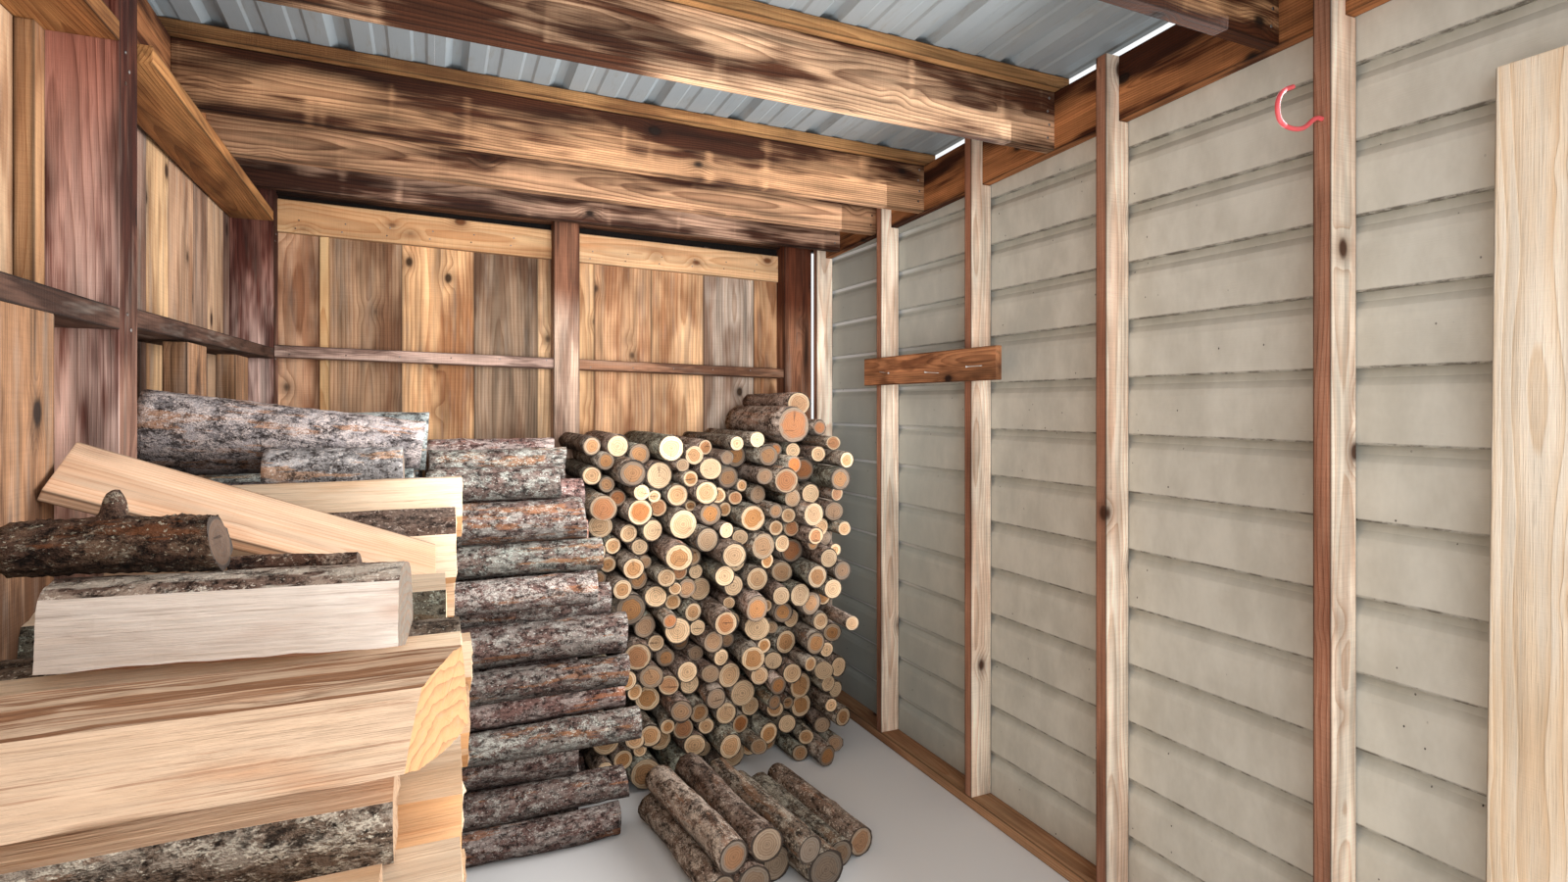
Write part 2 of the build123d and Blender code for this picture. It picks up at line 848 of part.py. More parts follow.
bark_slide = bark_split_length * sin(radians(bark_split_turn))
bark_outline = let_down(bark_split_outline, bark_split_place, split_pieces, slide=bark_slide)
bark_plane = turned(x_post + fit, split_y + bark_slide, bark_split_turn)
bark_split = log_from(bark_plane, bark_outline, bark_split_length)
keep_stack([front_split.part.solid(), bark_split], "split_pile_top")

# A crooked log and a stick that lie along the bark of the second split
loose_chance = Random(14)
bark_log_middle = bark_split_place + bark_split_outline[4][0]
bark_log_ring = log_outline(bark_log_radius, log_sides, log_wobble, loose_chance)
bark_log_outline = let_down(bark_log_ring, bark_log_middle, [bark_outline])
stick_ring = log_outline(stick_radius, log_sides, log_wobble, loose_chance)
stick_outline = let_down(stick_ring, bark_log_middle + 2 * stick_radius, [bark_outline])
bark_log = log_from(bark_plane, bark_log_outline, bark_log_length)
stick = log_from(bark_plane.offset(bark_log_length + fit), stick_outline, stick_length)
keep_stack([bark_log, stick], "loose_logs")

# The loose board: its underside is let down until it meets the split pile
run = np.array(board_run) / np.linalg.norm(board_run)
slope = np.array(board_slope) - run * np.dot(board_slope, run)
slope = slope / np.linalg.norm(slope)
corner = np.array([x_post + fit, y_middle + board_corner[0], board_corner[1]])
steps_along, steps_across = np.meshgrid(np.linspace(0, board_length, 604), np.linspace(0, board_width, 301))
under = corner + steps_along[..., None] * run + steps_across[..., None] * slope
lifts = []
for outline, end in zip(split_pieces, split_ends):
    upper = lower_and_upper(outline)[1] + np.array([split_y, 0])
    over = (under[..., 0] < end) & (under[..., 1] > upper[0, 0]) & (under[..., 1] < upper[-1, 0])
    if over.any():
        lifts.append((np.interp(under[over][:, 1], upper[:, 0], upper[:, 1]) - under[over][:, 2]).max())
board_seat = corner + np.array([0, 0, max(lifts) + 2 * fit])
with BuildPart() as loose_board:
    with BuildSketch(Plane(origin=tuple(board_seat), x_dir=tuple(run), z_dir=tuple(np.cross(run, slope)))):
        Rectangle(board_length, board_width, align=(Align.MIN, Align.MIN))
    extrude(amount=board_thickness)
keep(loose_board, "loose_board")

# Logs tumbled on the ground in front of the rear stack
floor_x = end_stack_x + max(cross_reach) + log_unevenness
floor_y = y_corner - log_length - end_stack_reach - floor_stack_gap
floor_swing = radians(floor_stack_turn)
floor_plane = Plane(
    origin=(floor_x, floor_y, 0),
    x_dir=(cos(floor_swing), sin(floor_swing), 0),
    z_dir=(sin(floor_swing), -cos(floor_swing), 0),
)
floor_logs = stack_section(floor_stack_width, floor_stack_tops, floor_log_radii, log_sides, log_wobble, 4)
floor_chance = Random(4)
floor_solids = []
for outline in floor_logs:
    forward = floor_chance.uniform(0, floor_stack_reach)
    length = log_length + floor_chance.uniform(-2 * log_unevenness, 0)
    floor_solids.append(log_from(floor_plane.offset(forward), outline, length))
keep_stack(floor_solids, "floor_logs")

print("end logs", len(end_logs), "cross logs", len(cross_logs), "corner logs", len(corner_logs))
print("splits", len(split_pieces), "floor logs", len(floor_logs), "board let down by", round(-max(lifts)))
print("roof falls", round(degrees(atan(fall_back)), 2), round(degrees(atan(fall_right)), 2))
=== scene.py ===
import math

import bmesh
import bpy
import numpy as np
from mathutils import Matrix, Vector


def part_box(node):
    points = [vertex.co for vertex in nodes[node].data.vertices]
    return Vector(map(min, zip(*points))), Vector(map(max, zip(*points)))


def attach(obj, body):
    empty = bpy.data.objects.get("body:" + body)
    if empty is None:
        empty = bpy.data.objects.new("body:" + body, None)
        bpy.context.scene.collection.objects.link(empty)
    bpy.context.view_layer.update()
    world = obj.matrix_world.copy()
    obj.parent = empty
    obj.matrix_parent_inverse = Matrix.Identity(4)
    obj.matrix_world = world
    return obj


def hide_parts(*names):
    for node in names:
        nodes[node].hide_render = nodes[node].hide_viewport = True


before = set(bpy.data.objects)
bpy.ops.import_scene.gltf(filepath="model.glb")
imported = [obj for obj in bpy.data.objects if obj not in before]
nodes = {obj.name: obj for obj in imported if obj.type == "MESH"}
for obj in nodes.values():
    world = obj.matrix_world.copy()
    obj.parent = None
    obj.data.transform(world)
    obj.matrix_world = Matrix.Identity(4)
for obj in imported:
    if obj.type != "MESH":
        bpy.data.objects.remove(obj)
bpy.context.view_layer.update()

# The camera stands just outside the open front at eye height and looks to the rear right. Soft
# light comes in at the front, as on a bright and cloudy day, and lamps inside stand in for what
# the pale floor and the siding throw back to the left, the back and the roof.


def placed(name, data):
    """A new object in the scene that shows this data."""
    made = bpy.data.objects.new(name, data)
    bpy.context.collection.objects.link(made)
    return made


camera_data = bpy.data.cameras.new("eye")
camera_data.sensor_width = 36.0
camera_data.lens = 18.0
camera_data.shift_y = -0.0225
camera_data.clip_start = 0.02
camera = placed("eye", camera_data)
camera.location = (-0.52455, -2.0045, 1.430)
camera.rotation_euler = (math.radians(90), 0, -math.radians(24.23))
bpy.context.scene.camera = camera
bpy.context.scene.view_settings.view_transform = "Standard"

world = bpy.data.worlds.new("sky")
bpy.context.scene.world = world
world.use_nodes = True
sky_inputs = world.node_tree.nodes["Background"].inputs
sky_inputs["Color"].default_value = (1, 1, 1, 1)
sky_inputs["Strength"].default_value = 1.0


def soft_light(name, place, size, watts, tilt, turn, spread):
    """A rectangle of light, unseen by the camera, tilted from looking down and turned about the vertical."""
    data = bpy.data.lights.new(name, "AREA")
    data.shape = "RECTANGLE"
    data.size, data.size_y = size
    data.energy = watts
    data.spread = math.radians(spread)
    lamp = placed(name, data)
    lamp.location = place
    lamp.rotation_euler = (math.radians(tilt), 0, math.radians(turn))
    lamp.visible_camera = False


soft_light("open_front", (-0.2, -2.6, 1.5), (2.6, 2.0), watts=27, tilt=86, turn=6, spread=150)
soft_light("to_left", (1.1, 0.0, 1.4), (2.2, 1.8), watts=50, tilt=90, turn=90, spread=120)
soft_light("to_back", (0.2, -0.5, 1.6), (1.4, 0.8), watts=12, tilt=90, turn=0, spread=90)
soft_light("to_roof", (0.0, -0.9, 0.8), (1.6, 1.0), watts=9, tilt=155, turn=4, spread=110)

# The floor is plain and pale, and belongs to no piece.
floor_reach = 8
floor_corners = [(x * floor_reach, y * floor_reach, 0) for x, y in ((-1, -1), (1, -1), (1, 1), (-1, 1))]
floor_mesh = bpy.data.meshes.new("floor")
floor_mesh.from_pydata(floor_corners, [], [(0, 1, 2, 3)])
floor = placed("floor", floor_mesh)

# The posts are rough sawn softwood, stained a reddish brown on the left side. They stand at the
# left and at the back, with the headers in their notches, and their corners are eased by wear.


def paint(code):
    """A colour of six hex digits as the linear values that a shader works with."""
    screen = np.array([int(code[k:k + 2], 16) for k in (0, 2, 4)]) / 255
    linear = np.where(screen <= 0.04045, screen / 12.92, ((screen + 0.055) / 1.055) ** 2.4)
    return tuple(float(part) for part in linear)


class Value:
    """A socket in a shader. Operators add Math nodes, with numbers or sockets on either side."""

    def __init__(self, finish, socket):
        self.finish = finish
        self.socket = socket

    def __add__(self, other):
        return self.finish.maths("ADD", self, other)

    def __radd__(self, other):
        return self.finish.maths("ADD", other, self)

    def __sub__(self, other):
        return self.finish.maths("SUBTRACT", self, other)

    def __rsub__(self, other):
        return self.finish.maths("SUBTRACT", other, self)

    def __mul__(self, other):
        return self.finish.maths("MULTIPLY", self, other)

    def __truediv__(self, other):
        return self.finish.maths("DIVIDE", self, other)

    def __pow__(self, other):
        return self.finish.maths("POWER", self, other)


class Finish:
    """A material in the making. Its nodes are all added by the method add."""

    def __init__(self, name):
        self.material = bpy.data.materials.new(name)
        self.material.use_nodes = True
        self.tree = self.material.node_tree
        self.tree.nodes.clear()

    def add(self, kind, settings, sockets, output=0):
        """Adds a node of a kind, with its settings first and then its sockets, by name or number."""
        node = self.tree.nodes.new("ShaderNode" + kind)
        for name, choice in settings.items():
            setattr(node, name, choice)
        for name, value in sockets.items():
            if isinstance(value, Value):
                self.tree.links.new(value.socket, node.inputs[name])
            else:
                node.inputs[name].default_value = value
        return Value(self, node.outputs[output]) if node.outputs else None

    def maths(self, operation, *values):
        """A Math node on numbers or sockets."""
        return self.add("Math", {"operation": operation}, dict(enumerate(values)))

    def read(self, attribute):
        """A vector that the mesh holds under this name."""
        return self.add("Attribute", {"attribute_name": attribute}, {}, "Vector")

    def position(self):
        """The place on the piece, in metres."""
        return self.add("TexCoord", {}, {}, "Object")

    def parts(self, vector):
        """A vector's three numbers."""
        split = self.add("SeparateXYZ", {}, {0: vector})
        return [Value(self, output) for output in split.socket.node.outputs]

    def stretch(self, vector, factors):
        """The vector with each of its numbers times a factor of its own."""
        return self.add("VectorMath", {"operation": "MULTIPLY"}, {0: vector, 1: factors})

    def shifted(self, vector, offset, times):
        """The vector plus an offset vector times a number."""
        far = self.add("VectorMath", {"operation": "SCALE"}, {0: offset, "Scale": times})
        return self.add("VectorMath", {"operation": "ADD"}, {0: vector, 1: far})

    def bright(self, colour, share):
        """The colour times a number."""
        return self.add("VectorMath", {"operation": "SCALE"}, {0: colour, "Scale": share})

    def blend(self, share, first, second, way="MIX"):
        """First at share 0 and second at share 1, each a socket or a colour of six hex digits."""
        pair = [c if isinstance(c, Value) else (*paint(c), 1) for c in (first, second)]
        settings = {"data_type": "RGBA", "blend_type": way}
        return self.add("Mix", settings, {0: share, 6: pair[0], 7: pair[1]}, 2)

    def coats(self, colour, *coats):
        """The colour with each coat, a share and a tone, laid over it in turn."""
        for share, tone, *way in coats:
            colour = self.blend(share, colour, tone, *way)
        return colour

    def noise(self, place, factors, detail=2.0, roughness=0.5):
        """Smooth noise about 0.5, with the place multiplied by a factor for each direction."""
        sockets = {"Vector": self.stretch(place, factors), "Scale": 1.0}
        sockets.update({"Detail": detail, "Roughness": roughness})
        return self.add("TexNoise", {}, sockets)

    def cells(self, place, factors, output="Distance"):
        """Distance to the nearest of a scatter of points, or that point's own colour."""
        return self.add("TexVoronoi", {}, {"Vector": self.stretch(place, factors), "Scale": 1.0}, output)

    def step(self, value, low, high):
        """From 0 at low to 1 at high, smoothly, whichever of the two is larger."""
        sockets = {"Value": value, "From Min": low, "From Max": high}
        return self.add("MapRange", {"interpolation_type": "SMOOTHSTEP"}, sockets)

    def close(self, colour, roughness, height, depth, gloss=0.5, metal=0.0):
        """Joins the surface, with the height as a bump of so many metres, and gives the material."""
        bump = self.add("Bump", {}, {"Height": height, "Distance": depth, "Strength": 1.0})
        sockets = {"Base Color": colour, "Roughness": roughness, "Normal": bump}
        sockets.update({"Specular IOR Level": gloss, "Metallic": metal})
        surface = self.add("BsdfPrincipled", {}, sockets)
        self.add("OutputMaterial", {}, {"Surface": surface})
        return self.material


def sawn_wood(name, late, knot, stain, ring, figure, stained, patches, streaks, grey=0.0, rough=0.8,
              shade_by_height=0.0, dripped=0.0, edges=0.0, rim=0.004, kerf=0.2, above=(9, 10, "ffffff"), inner=False):
    """Growth rings, a ring apart and edged with late wood, are steps in the distance from a wandering heart
    line. Knots are small balls that bend them, and streaks, fibres, saw marks and stains are noise drawn out
    along or across the grain. Stains gather where edges say, and may gather towards the top or bottom of a
    piece as painted shade, and drips cut them short. Between the two heights of above the wood, or only its
    face to the inside, turns to another tone, which on the back boards is painted shade."""
    wood = Finish(name)
    grain = wood.read("grain")
    along, across, through = wood.parts(grain)
    heart_across, heart_depth, heart_slope = wood.parts(wood.read("heart"))
    half_across, half_through = wood.parts(wood.read("half"))[:2]
    sway = wood.noise(grain, (1.4, 4, 4)) - 0.5
    drift = wood.noise(grain, (0.8, 2, 2)) - 0.5
    near_knot = wood.cells(grain, (4.2, 6.5, 6.5))
    halo = wood.step(near_knot, 0.32, 0.05)
    side = across - heart_across + sway * 0.035
    depth = through - heart_depth - heart_slope * along + drift * 0.09
    reach = (side * side + depth * depth) ** 0.5 + halo * 0.014
    streak = wood.noise(grain, (1.6, 38, 38), 3.0, 0.65)
    fibre = wood.noise(grain, (9, 420, 420), 2.0, 0.6)
    turn = wood.maths("FRACT", reach / ring + streak * 0.5)
    late_share = turn ** 2.0 * wood.step(turn, 1.0, 0.88)
    knot_share = wood.step(near_knot, 0.085, 0.06)
    knot_edge = wood.step(near_knot, 0.115, 0.08)
    cloud = wood.noise(grain, (patches[0], patches[1], patches[1]), 3.0, 0.62)
    drips = wood.noise(grain, (10, 1.2, 1.2), 2.0, 0.5)
    level = across / half_across
    cloud = cloud + (streak - 0.5) * 0.4 + (fibre - 0.5) * 0.15 + level * shade_by_height + level * level * edges
    marks = wood.step(cloud - wood.step(drips, 0.56, 0.8) * dripped, 0.43, 0.63)
    colour = wood.blend(late_share * figure, wood.read("early"), late, "MULTIPLY")
    blotch = wood.noise(grain, (2.6, 15, 15), 2.0, 0.6)
    colour = wood.bright(colour, 1 + (streak - 0.5) * (2.0 * streaks) + (blotch - 0.5) * (1.5 * streaks))
    colour = wood.blend(marks * stained, colour, stain, "MULTIPLY")
    worn = wood.step(wood.noise(grain, (3.1, 26, 26), 3.0, 0.7), 0.5, 0.7)
    colour = wood.coats(
        colour,
        (worn * grey, "9a9288"),
        (halo * halo * streak * 0.9, knot, "MULTIPLY"),
        (knot_edge * 0.55, knot, "MULTIPLY"),
        (knot_share * 0.85, knot))
    from_side = wood.step(half_across - wood.maths("ABSOLUTE", across), 0.0, rim + streak * rim)
    from_face = wood.step(half_through - wood.maths("ABSOLUTE", through), 0.0, rim + streak * rim)
    clear = wood.maths("MAXIMUM", from_side, from_face) * (1 - wood.step(fibre, 0.58, 0.68) * 0.3)
    sawn = wood.noise(grain, (260, 9, 9), 1.0, 0.5)
    colour = wood.bright(colour, (0.8 + fibre * 0.4) * (0.3 + clear * 0.7) * (1 - kerf / 2 + sawn * kerf))
    high = wood.step(wood.parts(wood.position())[2] + sway * 0.1, above[0], above[1])
    high = high * wood.step(through, 0.004, -0.004) if inner else high
    colour = wood.blend(high, colour, above[2], "MULTIPLY")
    height = fibre * 0.5 + streak * 0.6 + sawn * kerf * 2 - late_share * 0.3 + knot_share * 0.4
    return wood.close(colour, rough - late_share * 0.12, height, 0.0022, 0.2)


def solids_of(node):
    """The node's corners merged, its triangles, and a label for each corner: corners of one triangle take the
    lowest label among them, again and again until no label changes, so each solid ends with its own."""
    mesh = nodes[node].data
    corners = np.empty(len(mesh.vertices) * 3)
    mesh.vertices.foreach_get("co", corners)
    mesh.calc_loop_triangles()
    triangles = np.empty(len(mesh.loop_triangles) * 3, dtype=np.int32)
    mesh.loop_triangles.foreach_get("vertices", triangles)
    places, merged = np.unique(np.round(corners.reshape(-1, 3), 5), axis=0, return_inverse=True)
    triangles = merged.reshape(-1)[triangles].reshape(-1, 3)
    label = np.arange(len(places))
    changed = True
    while changed:
        lowest = label.copy()
        for k in range(3):
            np.minimum.at(lowest, triangles[:, k], label[triangles].min(axis=1))
        lowest = lowest[lowest]
        changed = bool((lowest != label).any())
        label = lowest
    return places, triangles, label


def own_axes(points):
    """A solid's middle and its directions from the longest to the shortest, by its corners' spread, each
    turned to point right, back or up."""
    middle = (points.min(axis=0) + points.max(axis=0)) / 2
    spread = np.cov((points - points.mean(axis=0)).T)
    directions = np.linalg.eigh(spread)[1][:, ::-1].T
    largest = np.abs(directions).argmax(axis=1)
    return middle, directions * np.sign(directions[np.arange(3), largest])[:, None]


def put(mesh, name, domain, values):
    """Keeps one vector for each corner or each face in the mesh."""
    layer = mesh.attributes.new(name, "FLOAT_VECTOR", domain)
    layer.data.foreach_set("vector", np.asarray(values, dtype=np.float32).ravel())


def show(mesh, piece, replaced):
    """Makes the mesh a piece of the store that stands for these nodes, if any."""
    made = placed(piece, mesh)
    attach(made, "root")
    if replaced:
        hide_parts(*replaced)
    return made


def timber(node, finish, colours, slot, seed, edge=0.0025, sides=None, heart=(0.02, 0.09), swell=0.0):
    """A node's solids with flat faces joined and edges eased. Each solid keeps places along, across and
    through its grain, the line of its heart, whose depth lies between the two of heart, and its own colour,
    and faces towards a named side may have another. It may swell in width, to meet the next board."""
    places, triangles, label = solids_of(node)
    build = bmesh.new()
    kept = build.verts.layers.int.new("solid")
    solids = np.unique(label)
    number = np.searchsorted(solids, label)
    grain = np.empty_like(places)
    hearts = np.empty((len(solids), 3))
    halves = np.empty((len(solids), 3))
    chance = np.random.default_rng(seed)
    for k in range(len(solids)):
        own = number == k
        middle, directions = own_axes(places[own])
        offset = chance.uniform(5, 60)
        local = (places[own] - middle) @ directions.T
        places[own] = places[own] + np.clip(local[:, 1:2] * 100, -1, 1) * swell * directions[1]
        grain[own] = local + (offset, 0, 0)
        halves[k] = abs(local).max(axis=0)[[1, 2, 0]] + (swell, 0, 0)
        slope = chance.uniform(-0.012, 0.012)
        depth = chance.uniform(*heart) * chance.choice((-1, 1))
        hearts[k] = (chance.uniform(-0.03, 0.03), depth - slope * offset, slope)
    corners = [build.verts.new(place) for place in places]
    for corner, solid in zip(corners, number):
        corner[kept] = int(solid)
    for triangle in triangles:
        build.faces.new([corners[k] for k in triangle])
    bmesh.ops.dissolve_limit(build, angle_limit=0.01, verts=build.verts, edges=build.edges)
    mesh = bpy.data.meshes.new(node + "_timber")
    build.to_mesh(mesh)
    build.free()
    mesh.materials.append(finish)
    now = np.empty(len(mesh.vertices) * 3)
    mesh.vertices.foreach_get("co", now)
    same = np.argmin(((now.reshape(-1, 1, 3) - places) ** 2).sum(axis=2), axis=1)
    put(mesh, "grain", "POINT", grain[same])
    firsts = np.array([face.vertices[0] for face in mesh.polygons])
    owner = number[same][firsts]
    normals = np.array([face.normal[:] for face in mesh.polygons])
    early = np.array([paint(colours[k % len(colours)]) for k in owner])
    for (axis, sign), colour in (sides or {}).items():
        early[normals[:, axis] * sign > 0.7] = paint(colour)
    put(mesh, "heart", "FACE", hearts[owner])
    put(mesh, "half", "FACE", halves[owner])
    put(mesh, "early", "FACE", early)
    made = show(mesh, node + "_timber", [node])
    eased = made.modifiers.new("eased", "BEVEL")
    eased.width = edge
    eased.segments = 2
    eased.limit_method = "ANGLE"
    eased.angle_limit = math.radians(35)


right, left, front, back = (0, 1), (0, -1), (1, -1), (1, 1)
post_wood = sawn_wood(
    "stained_post_wood", "8a6a60", "2e1a16", "6c443a", ring=0.009, figure=0.6, stained=0.95,
    patches=(1.8, 9), streaks=1.3, grey=0.3, edges=0.06, kerf=0.06, above=(1.5, 2.15, "a88276"))
bare_post_wood = sawn_wood(
    "bare_post_wood", "8a705c", "3a2418", "6a4c3c", ring=0.008, figure=0.6, stained=0.7, patches=(1.4, 16),
    streaks=1.2, grey=0.3, above=(1.76, 1.95, "a48474"))
post_cut = {"slot": "post_timber", "edge": 0.003, "heart": (0.0, 0.03)}
left_posts = ("left_post_front", "left_post_middle", "left_post_rear")
# Painted shade: the left posts' faces to the right are painted a darker brown, for the shade they lie in.
for number, node in enumerate(left_posts):
    timber(node, post_wood, ["e0c0b4"], seed=10 + number, sides={right: "9a7462"}, **post_cut)
timber("back_post_centre", bare_post_wood, ["d0b29c"], seed=14, **post_cut)
timber("back_post_right", bare_post_wood, ["94664c"], seed=15, **post_cut)

# Headers, girts and rails are sawn boards and planks nailed across the posts. The header on the
# right is scorched like the rafters, and the rails at the left are nearly black.
# The headers' scorch gathers a little to the top as painted shade.
header_wood = sawn_wood(
    "scorched_header_wood", "84583c", "23150e", "4c2c1a", ring=0.007, figure=0.7, stained=0.95,
    patches=(1.8, 8), streaks=1.0, shade_by_height=0.05, edges=0.08)
rail_wood = sawn_wood(
    "dark_rail_wood", "806058", "1e1410", "4a342c", ring=0.006, figure=0.5, stained=0.8, patches=(2.6, 14),
    streaks=1.2, grey=0.25)
girt_wood = sawn_wood(
    "girt_wood", "a07850", "3a2214", "7a5234", ring=0.007, figure=0.7, stained=0.6, patches=(1.5, 10),
    streaks=1.0)
timber("right_header", header_wood, ["b0764a"], "header_timber", 20)
timber("left_header", header_wood, ["a87048"], "rafter_timber", 21)
# Painted shade: the back header is painted a dark brown for the shade it lies in under the roof.
timber("back_header", header_wood, ["6a4630"], "rafter_timber", 22)
for number, node in enumerate(("left_girt_front", "left_girt_rear")):
    timber(node, girt_wood, ["a8784a"], "girt_timber", 24 + number)
for number, node in enumerate(("left_rail_front", "left_rail_rear")):
    timber(node, rail_wood, ["5e4438"], "rail_timber", 26 + number)
timber("back_rail_left", rail_wood, ["d4b4a4"], "rail_timber", 28)
timber("back_rail_right", rail_wood, ["a87c60"], "rail_timber", 29)

# The rafters are deep planks on edge, scorched and weathered to dark clouds over gold. As painted
# shade, the scorch gathers to the top of rafters 3 to 6 and a little to the bottom of the first two.
# Each of them, and the header at the back, carries a thin flat strip for the roof screws.
strip_wood = sawn_wood(
    "strip_wood", "9a7450", "3a2416", "6a4630", ring=0.006, figure=0.65, stained=0.7, patches=(2, 10),
    streaks=1.0)
rafter_colours = ("dcaa7a", "e2b080", "eac09a", "c0946e", "bc9270", "bc9880")
rafter_shades_by_height = (-0.03, -0.02, 0.02, 0.1, 0.12, 0.06)
for number, (colour, rafter_shade_by_height) in enumerate(zip(rafter_colours, rafter_shades_by_height), 1):
    rafter_wood = sawn_wood(
        f"scorched_rafter_wood_{number}", "704a30", "1c120c", "482814", ring=0.0075, figure=0.85,
        stained=0.97, patches=(1.5, 7), streaks=1.2, shade_by_height=rafter_shade_by_height, dripped=0.2, edges=0.1)
    timber(f"rafter_{number}", rafter_wood, [colour], "rafter_timber", 30 + number)
for number in range(1, 8):
    timber(f"rafter_strip_{number}", strip_wood, ["b08456"], "strip_timber", 40 + number, edge=0.0015)

# Three ribbed steel sheets, each pressed from one thin plate, lie across the strips. They have
# gone dull, with a little dust on them.


def cover(names, finish):
    """Gives the nodes' own meshes this finish in place of what they have."""
    for name in names:
        nodes[name].data.materials.clear()
        nodes[name].data.materials.append(finish)


steel = Finish("roof_steel")
steel_place = steel.position()
steel_cloud = steel.noise(steel_place, (3, 3, 3), 3.0)
steel_dust = steel.noise(steel_place, (40, 6, 6), 4.0, 0.7)
steel_colour = steel.blend(steel_cloud, "a9b4ba", "8e999f")
steel_colour = steel.blend(steel.step(steel_dust, 0.52, 0.75) * 0.4, steel_colour, "8c8474")
roof_steel = steel.close(steel_colour, 0.42 + steel_dust * 0.2, steel_dust, 0.0006, metal=0.35)
cover([f"roof_sheet_{number}" for number in range(1, 4)], roof_steel)

# Six studs stand on a sill in front of the neighbour's wall, with a board nailed across two of
# them. Their faces to the front are painted pale as painted light from the open front, and those
# to the inside browner as painted shade.
stud_wood = sawn_wood(
    "stud_wood", "c8a080", "4a2c1c", "a4785c", ring=0.008, figure=0.65, stained=0.45, patches=(1.8, 14),
    streaks=0.8)
cross_wood = sawn_wood(
    "cross_board_wood", "805848", "20130e", "5a3a2a", ring=0.006, figure=0.65, stained=0.7, patches=(3, 12),
    streaks=1.2)
stud_lit_and_shaded_faces = {front: "fff0dc", left: "aa7c64", right: "aa7c64"}
for number in range(1, 7):
    timber(f"wall_stud_{number}", stud_wood, ["d0a27e"], "stud_timber", 50 + number, 0.003, stud_lit_and_shaded_faces)
timber("right_sill", stud_wood, ["b08a68"], "stud_timber", 57)
timber("cross_board", cross_wood, ["b07a54"], "rail_timber", 58)

# The neighbour's wall has lap siding of pressed board, painted a pale grey green, with specks of
# dirt. Along each lap runs a dark line, painted shadow with dirt in it, and the greyer band below the
# next lap is painted shade. Towards the back it is painted duller as painted shade, with thin painted
# highlights on its laps. Plain board lies behind.
siding_course = 0.1655
siding_start = 0.0215
lap = Finish("siding_paint")
lap_place = lap.position()
lap_y, lap_z = lap.parts(lap_place)[1:]
course = lap.maths("FRACT", (lap_z - siding_start) / siding_course)
smear = lap.noise(lap_place, (2, 9, 5), 4.0, 0.65)
grime = lap.noise(lap_place, (20, 24, 60), 5.0, 0.75)
fine_line = lap.noise(lap_place, (1, 6, 520), 2.0)
# Painted shade in the band below each lap, and a painted shadow line along each lap with dirt in it.
shade_below_lap = lap.step(course, 0.72, 0.98) * (0.25 + smear * 0.5)
lap_shadow_and_dirt = lap.step(course, 0.04, 0.015) * (0.35 + lap.step(grime, 0.42, 0.6) * 0.5)
# Painted shade makes the wall duller towards the back, and painted highlights lie along the laps there.
dull = lap.step(lap_y + smear * 0.6, 0.0, 1.4)
painted_lap_highlight = lap.step(course, 0.9, 0.94) * lap.step(lap_y, 0.5, 1.1)
specks = lap.step(lap.cells(lap_place, (9, 26, 19)), 0.06, 0.04) * lap.step(smear, 0.45, 0.55)
lap_colour = lap.coats(
    lap.blend(lap.step(smear, 0.25, 0.75), "d9d6ca", "c4c0b3"), (shade_below_lap, "8e8b7c"), (lap_shadow_and_dirt, "4c4437"),
    (dull * 0.85, "a8b0ac"), (painted_lap_highlight * 0.8, "eef2f6"), (specks, "2c241c"))
siding_paint = lap.close(lap_colour, 0.55 + smear * 0.2, fine_line * 0.3 + grime * 0.5, 0.0008)
cover(["siding"], siding_paint)


def hazy(name, scale, detail, pale, dark, rough, depth, metal=0.0):
    """Two tones and a slight unevenness that follow one noise, with the place times a scale."""
    finish = Finish(name)
    haze = finish.noise(finish.position(), (scale, scale, scale), detail)
    return finish.close(finish.blend(haze, pale, dark), rough, haze, depth, metal=metal)


cover(["party_wall"], hazy("wall_board", 3, 4.0, "b0aa9c", "98917f", rough=0.8, depth=0.001))

# Upright boards close the back, each of its own width and colour, with a pale pine trim board
# under the roof in each bay and a pine batten over one joint. Above the trim their inside faces
# are painted nearly black, as painted shade under the header, and outdoors they have weathered to grey.
trim_top = min(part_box(node)[1][2] for node in ("back_trim_left", "back_trim_right"))
back_wood = sawn_wood(
    "back_board_wood", "a8845e", "33200f", "8a6448", ring=0.013, figure=0.7, stained=0.75, patches=(1.6, 5),
    streaks=0.9, grey=0.2, rim=0.009, above=(trim_top - 0.04, trim_top - 0.02, "140e0a"), inner=True)
pine = sawn_wood(
    "pine", "c99a62", "6a3c1c", "c0946a", ring=0.009, figure=0.6, stained=0.45, patches=(1.2, 8),
    streaks=0.5, rough=0.7)
back_colours = ("d8ae8c", "d8ae8c", "a48468", "e0b284", "947c66", "dcb890", "dab084", "cca27c", "deb48a",
                "c4b2a2", "d8ac82")
timber("back_boards", back_wood, back_colours, "wall_boards", 60, sides={back: "a89a8a"}, swell=0.0025)
timber("back_trim_left", pine, ["d8b084"], "trim_pine", 61)
timber("back_trim_right", pine, ["dcb48a"], "trim_pine", 62)
timber("joint_batten", pine, ["dcb888"], "trim_pine", 63)

